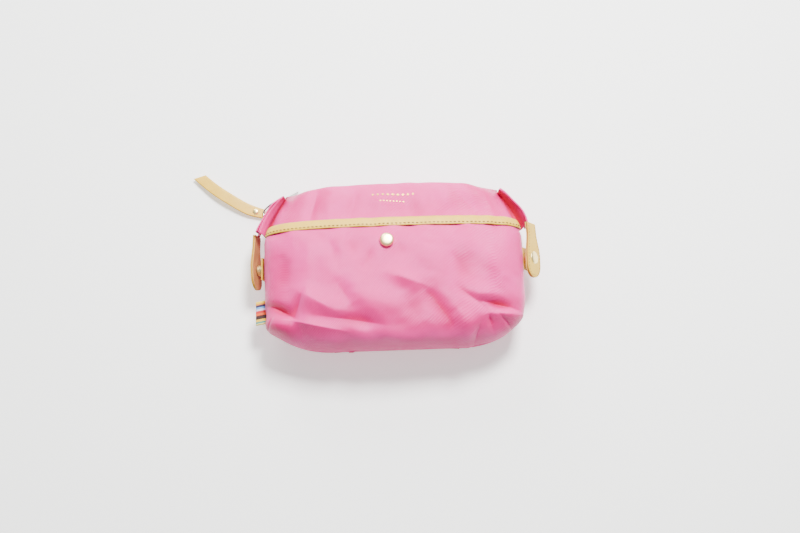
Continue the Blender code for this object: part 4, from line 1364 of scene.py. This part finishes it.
@dataclass
class Ear:
    """Folded zip end at one side, with the gusset web between it and the bag."""
    form: BagForm
    wardrobe: Wardrobe
    side: int
    steps: int = 60
    corners: int = 24
    lean: float = math.radians(36.0)
    radius: float = 60.0 * MM
    fold_half: float = 1.1 * MM
    web_reach: float = 34.0 * MM
    web_cloth: float = 0.6 * MM
    groove: ClassVar[dict[str, tuple[float, float]]] = {"left": (0.20, 0.17), "right": (0.46, 0.50)}

    @property
    def word(self) -> str:
        """Which side, as the nodes name it."""
        return "left" if self.side < 0 else "right"

    def arc(self, share: Array, offset: float) -> Array:
        """Plan points of the ear's outer face: an arc that leaves the ridge and turns to the tab.

        Args:
            share: places along the arc, from 0 to 1.
            offset: metres outwards from it.
        Returns:
            x and y, with share's shape before them.
        """
        turn = self.lean * (1.0 + share)
        start = np.array([self.form.ridge_half + 2.4 * MM, self.form.zip_y + 1.0 * MM])
        centre = start - np.array([math.sin(self.lean), math.cos(self.lean)]) * self.radius
        line = centre + np.stack([np.sin(turn), np.cos(turn)], -1) * (self.radius + offset)
        return line * np.array([self.side, 1.0])

    def folds(self) -> None:
        """Front and back cloth folds of the ear: rolled strips on the arc, either side of the tape."""
        share = np.linspace(0.0, 1.0, self.steps)[:, None]
        depth, upright = section(self.corners, 0.8, 0.7)
        wave = 0.5 * MM * np.sin(share * 9.0 + 1.3 * self.side)
        shape = (self.steps, self.corners)
        plan = self.arc(np.broadcast_to(share, shape), 0.0)
        out = self.arc(np.broadcast_to(share, shape), 1.0 * MM) - plan
        flat = plan + out * ((self.fold_half * (depth - 1.0) + wave) / MM)[..., None]
        taper = 0.55 + 0.45 * smooth(share, 0.0, 0.3)
        turn = np.linspace(0.0, 2 * np.pi, self.corners, endpoint=False)
        uv = np.stack(np.broadcast_arrays(turn * 3 * MM, share * 40 * MM), -1)
        faces = quads(*shape, wrap=True)[:, ::-self.side]
        for part in ("front", "back"):
            low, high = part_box(f"{self.word}_ear_{part}_fold")
            height = 0.5 * (high.z + low.z) + 0.5 * (high.z - low.z) * upright * taper
            grid = np.concatenate([flat, height[..., None]], -1)
            piece = make_object(f"{self.word}_ear_{part}_cloth", grid, faces, uv)
            # Painted shade: the inner side of each rolled strip is darkened through the fold attribute.
            inner = smooth(-self.fold_half * depth, -0.2 * MM, 0.9 * MM)
            mark(piece, "fold", np.broadcast_to(0.55 * inner, shape))
            self.wardrobe.dress(piece, Finish.CLOTH, "cloth")
            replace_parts(piece, f"{self.word}_ear_{part}_fold")
            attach(piece, f"{self.word}_ear")

    def web(self) -> None:
        """Gusset web: cloth that dips between the bag's shoulder and the ear's front edge."""
        share = np.linspace(0.0, 1.0, self.steps)[:, None]
        across = np.linspace(0.0, 1.0, 25)[None, :]
        y_edge = self.form.zip_y - 1 * MM - share[:, 0] * self.web_reach
        width = self.form.width_at(y_edge)
        near = np.stack([self.side * (width - 0.6 * MM), y_edge, self.form.seam_at(y_edge) + 5 * MM], -1)
        far = np.concatenate([self.arc(share[:, 0], -1.6 * MM), np.full((self.steps, 1), 0.0)], -1)
        far[:, 2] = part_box(f"{self.word}_ear_front_fold")[1].z - 1.5 * MM
        grid = near[:, None] * (1 - across[..., None]) + far[:, None] * across[..., None]
        centre, breadth = self.groove[self.word]
        groove = np.exp(-((across - centre) / breadth) ** 2)
        ends = np.sin(np.pi * across) ** 0.4
        dip = (groove * (3 * MM + 8 * MM * share) - 2.2 * MM * smooth(across, 0.5, 0.85)) * ends
        grid = grid - np.stack([np.zeros_like(dip), np.zeros_like(dip), dip], -1)
        piece = sheet_object(f"{self.word}_gusset_web", grid, np.array([0.0, 0.03, -0.2]), self.web_cloth)
        # Painted shade and painted inter-reflected red: the web's groove goes deepest and the whole web a
        # little darker, through the fold attribute.
        deep = np.clip(1.3 * groove, 0.0, 1.0) * (1.0 - 0.5 * smooth(share, 0.9, 1.0))
        mark(piece, "fold", np.maximum(deep, 0.15))
        self.wardrobe.dress(piece, Finish.CLOTH, "cloth")
        bend(piece, np.broadcast_to(smooth(across, 0.0, 1.0), dip.shape))

    def build(self) -> None:
        """Build every piece of the ear."""
        self.folds()
        self.web()
        self.wardrobe.dress(bpy.data.objects[f"{self.word}_ear_zip_tape"], Finish.TAPE)


@dataclass
class EndTab:
    """Leather tab at one side: two layers, stitches round its edge, and its press stud."""
    wardrobe: Wardrobe
    side: int
    length: float = 45.0 * MM
    width: float = 20.0 * MM
    neck: float = 13.0 * MM
    layer: float = 1.3 * MM
    glue: float = 0.1 * MM
    bow: float = 0.9 * MM
    cap_radius: float = 5.4 * MM
    stitch: tuple[float, float, float] = (2.6 * MM, 1.7 * MM, 0.55 * MM)
    stitch_inset: float = 1.8 * MM
    rows: int = 60
    corners: int = 40

    @property
    def word(self) -> str:
        """Which side, as the nodes name it."""
        return "left" if self.side < 0 else "right"

    def bow_at(self, run: Array) -> Array:
        """Height of the tab's slight bow at a distance along it."""
        return self.bow * np.sin(np.pi * run / self.length)

    def axes(self) -> tuple[Array, Array, Array, Array]:
        """Start of the tab's middle line, its direction, its width direction and its outer normal.

        Returns:
            The four vectors.
        """
        if self.side < 0:
            normal = np.array([-0.97, 0.0, -0.243])
            place = np.array([-105.4, 2.0, 21.0]) * MM
        else:
            normal = np.array([0.8, 0.0, 0.6])
            place = np.array([106.2, 2.0, 29.0]) * MM
        normal = normal / np.linalg.norm(normal)
        down = np.array([0.0, -1.0, 0.0])
        start = place - down * 29.0 * MM + normal * 4.2 * MM
        return start, down, np.cross(normal, down), normal

    def half_at(self, run: Array) -> Array:
        """Half width at a distance along the tab: a neck, an eased widening, a round end.

        Args:
            run: metres along the tab.
        Returns:
            Half the width there.
        """
        widening = smooth(run, 0.18 * self.length, 0.62 * self.length)
        half = 0.5 * self.neck + 0.5 * (self.width - self.neck) * widening
        left = np.clip(self.length - run, 0.0, None)
        cap = np.sqrt(np.clip(1.0 - (1.0 - np.clip(left / (0.5 * self.width), 0, 1)) ** 2, 0.0, 1.0))
        return np.minimum(half, 0.5 * self.width) * cap

    def layer_piece(self, part: str, node: str, height: float, finish: Finish) -> None:
        """One leather layer: a rounded slab over the tab's outline.

        Args:
            part: which layer, for the piece's name.
            node: the end of the name of the solid that it stands for.
            height: its underside above the tab's start.
            finish: its finish.
        """
        start, along, across, normal = self.axes()
        run = self.length * (1.0 - np.cos(np.linspace(0.0, np.pi, self.rows)[:, None])) / 2
        wide, thick = section(self.corners, 0.35, 0.6)
        ends = np.sqrt(np.clip(np.minimum(run, self.length - run) / (0.3 * MM), 0.0, 1.0))
        up = height + 0.5 * self.layer * (1.0 + thick * ends) + self.bow_at(run)
        grid = (start + along * run[..., None] + across * (self.half_at(run) * wide)[..., None]
                + normal * up[..., None])
        piece = make_object(f"{self.word}_tab_{part}_leather", grid, quads(*up.shape, wrap=True))
        mark(piece, "edge", np.broadcast_to(smooth(np.abs(wide), 0.93, 1.0) * 0.8, up.shape))
        self.wardrobe.dress(piece, finish, "leather")
        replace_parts(piece, f"{self.word}_tab_{node}")
        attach(piece, f"{self.word}_tab")

    def stitches(self) -> None:
        """Row of stitches down one edge of the tab and back up the other."""
        start, along, across, normal = self.axes()
        run = np.linspace(2.0 * MM, self.length - 1.9 * MM, 120)
        half = np.maximum(self.half_at(run) - self.stitch_inset, 0.0)
        where = np.concatenate([run, run[::-1]])
        reach = np.concatenate([half, -half[::-1]])
        lift = 2 * self.layer + 0.12 * MM + self.bow_at(where)
        path = start + along * where[:, None] + across * reach[:, None] + normal * lift[:, None]
        normals = np.broadcast_to(normal, path.shape)
        piece = stitch_object(f"{self.word}_tab_stitches", path, normals, *self.stitch)
        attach(self.wardrobe.dress(piece, Finish.THREAD, "leather"), f"{self.word}_tab")

    def cap(self) -> None:
        """Domed cap of the tab's press stud."""
        normal = self.axes()[3]
        low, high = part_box(f"{self.word}_snap_cap")
        centre = np.array(low + high) / 2 - normal * 1.0 * MM
        radius = self.cap_radius
        rim = np.array([(radius, 0.4 * MM), (radius * 0.98, -0.2 * MM), (0.0, -0.3 * MM)])
        profile = dome_profile(radius * 0.94, 1.0 * MM, rim)
        piece = turned_object(f"{self.word}_tab_cap", profile, centre, normal)
        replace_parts(self.wardrobe.dress(piece, Finish.GOLD, "gold"), f"{self.word}_snap_cap")
        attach(piece, f"{self.word}_tab")

    def build(self) -> None:
        """Build the tab's layers, its stitches and its cap, and dress its stud and patch."""
        self.layer_piece("back", "inner", 0.0, Finish.LEATHER_BACK)
        self.layer_piece("face", "outer", self.layer + self.glue, Finish.LEATHER)
        self.stitches()
        self.cap()
        for part in ("stud", "socket"):
            self.wardrobe.dress(bpy.data.objects[f"{self.word}_{part}"], Finish.GOLD)
        self.wardrobe.dress(bpy.data.objects[f"{self.word}_stud_patch"], Finish.LEATHER)


@dataclass
class ZipPull:
    """Slider, metal tab, wire ring, and the two-layer leather pull with its rivet."""
    wardrobe: Wardrobe
    width: float = 9.0 * MM
    layer: float = 1.2 * MM
    glue: float = 0.1 * MM
    underside: float = 0.9 * MM
    arch: float = 2.4 * MM
    rivet_row: int = 10
    ring_half: tuple[float, float] = (8.2 * MM, 4.2 * MM)
    wire: float = 0.75 * MM
    rows: int = 90
    corners: int = 36

    def ring(self) -> None:
        """Wire ring: a slightly squared loop of round wire where its solid lies."""
        points = points_of(bpy.data.objects["pull_ring"])
        centre = points.mean(axis=0) + np.array([-2.4, -1.6, 0.0]) * MM
        away = np.array([-0.774, -0.633, -0.03])
        away /= np.linalg.norm(away)
        side = np.cross(away, [0.0, 0.0, 1.0])
        side /= np.linalg.norm(side)
        long, short = section(64, 0.8, 0.8)
        path = centre + away * self.ring_half[0] * long.T + side * self.ring_half[1] * short.T
        piece = tube_object("ring_wire", path, self.wire, 12, closed=True)
        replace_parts(self.wardrobe.dress(piece, Finish.STEEL, "metal"), "pull_ring")
        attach(piece, "ring")

    def leather(self) -> None:
        """Two leather layers along one curve that lifts a little towards its slanted end."""
        low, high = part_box("pull_leather_front")
        line = np.array([(0.0, 0.0), (-16.0, 5.0), (-32.0, 14.5), (-45.0, 24.0), (-57.0, 35.0)]) * MM
        start = np.array([high.x - 1.3 * MM, low.y + 4.3 * MM])
        share = np.linspace(0.0, 1.0, self.rows)
        plan = catmull(line, 0.06 + 0.94 * share) + start
        along = np.gradient(plan, axis=0)
        along /= np.linalg.norm(along, axis=1, keepdims=True)
        side = np.stack([along[:, 1], -along[:, 0]], -1)
        wide, thick = section(self.corners, 0.3, 0.6)
        half = (0.5 * self.width * (0.86 + 0.14 * smooth(share, 0.0, 0.2)))[:, None]
        ends = np.sqrt(np.clip(np.minimum(share, 1 - share) * 200.0, 0.0, 1.0))[:, None]
        slant = smooth(share, 0.85, 1.0)[:, None] * 0.30 * self.width * wide
        lift = (self.arch * np.sin(np.pi * share * 0.9) ** 2)[:, None]
        flat = plan[:, None] + side[:, None] * (half * wide)[..., None] - along[:, None] * slant[..., None]
        for name, node, base in (
                ("pull_back_leather", "pull_leather_back", self.underside),
                ("pull_face_leather", "pull_leather_front", self.underside + self.layer + self.glue)):
            up = base + 0.5 * self.layer * (1 + thick * ends) + lift
            piece = make_object(name, np.concatenate([flat, up[..., None]], -1),
                                quads(*up.shape, wrap=True)[:, ::-1])
            mark(piece, "edge", np.broadcast_to(smooth(np.abs(wide), 0.94, 1.0) * 0.9, up.shape))
            self.wardrobe.dress(piece, Finish.LEATHER, "leather")
            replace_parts(piece, node)
            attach(piece, "leather_pull")
        spot = np.array([*plan[self.rivet_row], self.underside + 2 * self.layer + 0.5 * MM])
        profile = np.array([(0.0, 0.9), (1.4, 0.85), (2.1, 0.6), (2.5, 0.25), (2.5, 0.0), (0.0, 0.0)]) * MM
        rivet = turned_object("pull_rivet_head", profile, spot, np.array([0.0, 0.0, 1.0]), 24)
        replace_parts(self.wardrobe.dress(rivet, Finish.GOLD, "gold"), "pull_rivet")
        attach(rivet, "leather_pull")

    def build(self) -> None:
        """Build the ring and the leather, and dress the metal nodes."""
        self.ring()
        self.leather()
        for node in ("slider_body", "slider_bridge", "metal_tab"):
            self.wardrobe.dress(bpy.data.objects[node], Finish.STEEL)


@dataclass
class Zip:
    """Two coils of teeth that mesh along the ridge, on their tapes."""
    form: BagForm
    wardrobe: Wardrobe
    pitch: float = 1.9 * MM
    tooth_half: tuple[float, float, float] = (0.42 * MM, 0.7 * MM, 1.3 * MM)
    end_gap: float = 3.5 * MM
    tape_past: float = 2.0 * MM
    tape_near: float = 0.9 * MM
    tape_width: float = 5.6 * MM
    tape_cloth: float = 0.5 * MM

    def coil(self, name: str, sign: int, low: float, high: float) -> bpy.types.Object:
        """One row of teeth: a rounded peg at every pitch, reaching across the zip's middle.

        Args:
            name: the piece's name.
            sign: -1 for the back row, 1 for the front.
            low: x of the first tooth.
            high: x that the last one stays below.
        Returns:
            The row.
        """
        centres = np.arange(low, high, self.pitch) + 0.25 * sign * self.pitch
        thick, tall, reach = self.tooth_half
        polar = np.linspace(0.0, np.pi, 6)[:, None]
        turn = np.linspace(0.0, 2 * np.pi, 8, endpoint=False)[None, :]
        cap = np.sin(polar) ** 0.5 + 1e-3
        unit = np.stack(np.broadcast_arrays(cap * np.cos(turn) * thick, cap * np.sin(turn) * tall,
                                            sign * np.cos(polar) * reach), -1)
        middle = (centres, self.form.zip_y, self.form.zip_z + sign * tall)
        offset = np.stack(np.broadcast_arrays(*middle), -1)
        return beads_object(name, offset[:, None, None] + unit, flip=sign > 0)

    def tape(self, name: str, sign: int, low: float, high: float) -> bpy.types.Object:
        """Tape beside a row of teeth: a flat strip that tucks under the cloth.

        Args:
            name: the piece's name.
            sign: -1 for the back tape, 1 for the front.
            low: x of one end.
            high: x of the other.
        Returns:
            The tape.
        """
        x = np.linspace(low, high, 120)[None, :]
        part = np.linspace(0.0, 1.0, 6)[:, None]
        z = self.form.zip_z + sign * (self.tape_near + self.tape_width * part)
        y = self.form.zip_y - 0.1 * MM - 0.9 * MM * part ** 2
        grid = np.stack(np.broadcast_arrays(x, y, z), -1)
        return sheet_object(name, grid, np.array([0.0, 0.0, self.form.zip_z]), self.tape_cloth)

    def build(self) -> None:
        """Build both rows and tapes; the back ones ride on the root body."""
        edge = self.form.ridge_half - self.end_gap
        past = edge + self.tape_past
        for word, sign in (("back", -1), ("front", 1)):
            coil = self.coil(f"{word}_coil", sign, -edge, edge)
            tape = self.tape(f"{word}_woven_tape", sign, -past, past)
            self.wardrobe.dress(coil, Finish.COIL, "teeth")
            self.wardrobe.dress(tape, Finish.TAPE, "tape")
            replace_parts(coil, f"{word}_teeth")
            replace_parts(tape, f"{word}_tape")
            for piece in (coil, tape):
                if sign > 0:
                    bend(piece, self.form.mouth_weight(points_of(piece)))
                else:
                    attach(piece, "root")
            if sign > 0:
                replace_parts(coil, "left_end_teeth", "right_end_teeth")
                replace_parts(tape, "left_end_tape", "right_end_tape")


@dataclass
class Ribbon:
    """Striped ribbon folded in two and sewn into the left seam."""
    wardrobe: Wardrobe
    columns: int = 41
    rows: int = 20
    cloth: float = 0.35 * MM
    half_gap: float = 0.7 * MM
    droop: float = 0.9 * MM
    slant: float = 1.2 * MM

    def build(self) -> None:
        """Ribbon loop: a flat U section, out and back, carried along the seam."""
        low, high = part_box("ribbon_tag")
        run, part = np.meshgrid(np.linspace(0.0, 1.0, self.columns), np.linspace(0.0, 1.0, self.rows))
        reach = 1.0 - np.abs(2.0 * run - 1.0) ** 1.6
        out = (high.x - low.x) * reach
        rise = self.half_gap * np.tanh((run - 0.5) * 7.0)
        y = low.y + (high.y - low.y) * part - self.slant * reach
        z = 0.5 * (low.z + high.z) + rise - self.droop * reach ** 2
        grid = np.stack([high.x + 0.2 * MM - out, y, z], -1)
        piece = make_object("ribbon_loop", grid, quads(self.rows, self.columns), np.stack([run, part], -1))
        solid = piece.modifiers.new("thickness", "SOLIDIFY")
        solid.thickness = self.cloth
        solid.offset = 0.0
        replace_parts(self.wardrobe.dress(piece, Finish.RIBBON, "ribbon"), "ribbon_tag")
        bend(piece, smooth(out, 0.0, 4 * MM))


@dataclass
class Studio:
    """Pale floor, soft light from beyond the zip, and the camera."""
    distance: float = 0.90
    elevation: float = 76.0
    azimuth: float = 2.0
    lens: float = 50.6
    target: tuple[float, float, float] = (0.0048, -0.0008, 0.030)
    floor_half: float = 3.0
    floor_z: float = -0.4 * MM
    floor_glow: float = 0.62
    daylight: float = 0.52

    def floor(self) -> None:
        """Wide pale floor under the bag."""
        across = np.linspace(-self.floor_half, self.floor_half, 3)
        grid = np.stack(np.broadcast_arrays(across[None, :], across[:, None], self.floor_z), -1)
        piece = make_object("floor", grid, quads(3, 3))
        made, _, shader, _ = start_material("pale_floor")
        shader.inputs["Base Color"].default_value = (0.90, 0.90, 0.89, 1.0)
        shader.inputs["Roughness"].default_value = 0.7
        shader.inputs["Emission Color"].default_value = (0.97, 1.0, 0.95, 1.0)
        shader.inputs["Emission Strength"].default_value = self.floor_glow
        piece.data.materials.append(made)

    def lamp(self, name: str, place: tuple[float, float, float], size: float, power: float) -> None:
        """Square area light that faces the bag.

        Args:
            name: its name.
            place: where it hangs.
            size: length of its side.
            power: watts.
        """
        data = bpy.data.lights.new(name, "AREA")
        data.size = size
        data.energy = power
        made = bpy.data.objects.new(name, data)
        bpy.context.scene.collection.objects.link(made)
        made.location = place
        made.rotation_euler = (-Vector(place)).to_track_quat("-Z", "Y").to_euler()

    def camera(self) -> None:
        """Camera above the base side, looking down at the front."""
        data = bpy.data.cameras.new("camera")
        data.lens = self.lens
        data.sensor_width = 36.0
        made = bpy.data.objects.new("camera", data)
        bpy.context.scene.collection.objects.link(made)
        up, turn = math.radians(self.elevation), math.radians(self.azimuth)
        away = Vector((-math.sin(turn) * math.cos(up), -math.cos(turn) * math.cos(up), math.sin(up)))
        made.location = Vector(self.target) + away * self.distance
        made.rotation_euler = (-away).to_track_quat("-Z", "Y").to_euler()
        bpy.context.scene.camera = made

    def build(self) -> None:
        """Build the stage."""
        self.floor()
        self.camera()
        world = bpy.data.worlds.new("soft_daylight")
        bpy.context.scene.world = world
        world.use_nodes = True
        sky = world.node_tree.nodes["Background"]
        sky.inputs["Color"].default_value = (1.0, 1.0, 1.0, 1.0)
        sky.inputs["Strength"].default_value = self.daylight
        self.lamp("window", (0.26, 0.62, 1.12), 0.36, 55.0)
        self.lamp("far_window", (-0.5, 1.5, 0.9), 0.8, 26.0)


def main() -> None:
    """Load the solids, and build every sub-assembly round them."""
    logging.basicConfig(level=logging.INFO, format="%(name)s: %(message)s")
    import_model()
    wardrobe = Wardrobe()
    form = BagForm.from_frame()
    Body(form, wardrobe).build()
    Pocket(form, wardrobe).build()
    Zip(form, wardrobe).build()
    for side in (-1, 1):
        Ear(form, wardrobe, side).build()
        EndTab(wardrobe, side).build()
    ZipPull(wardrobe).build()
    Ribbon(wardrobe).build()
    wardrobe.dress(bpy.data.objects["pocket_snap_post"], Finish.GOLD)
    Studio().build()
    LOG.info("sizes written")


if __name__ == "__main__":
    main()
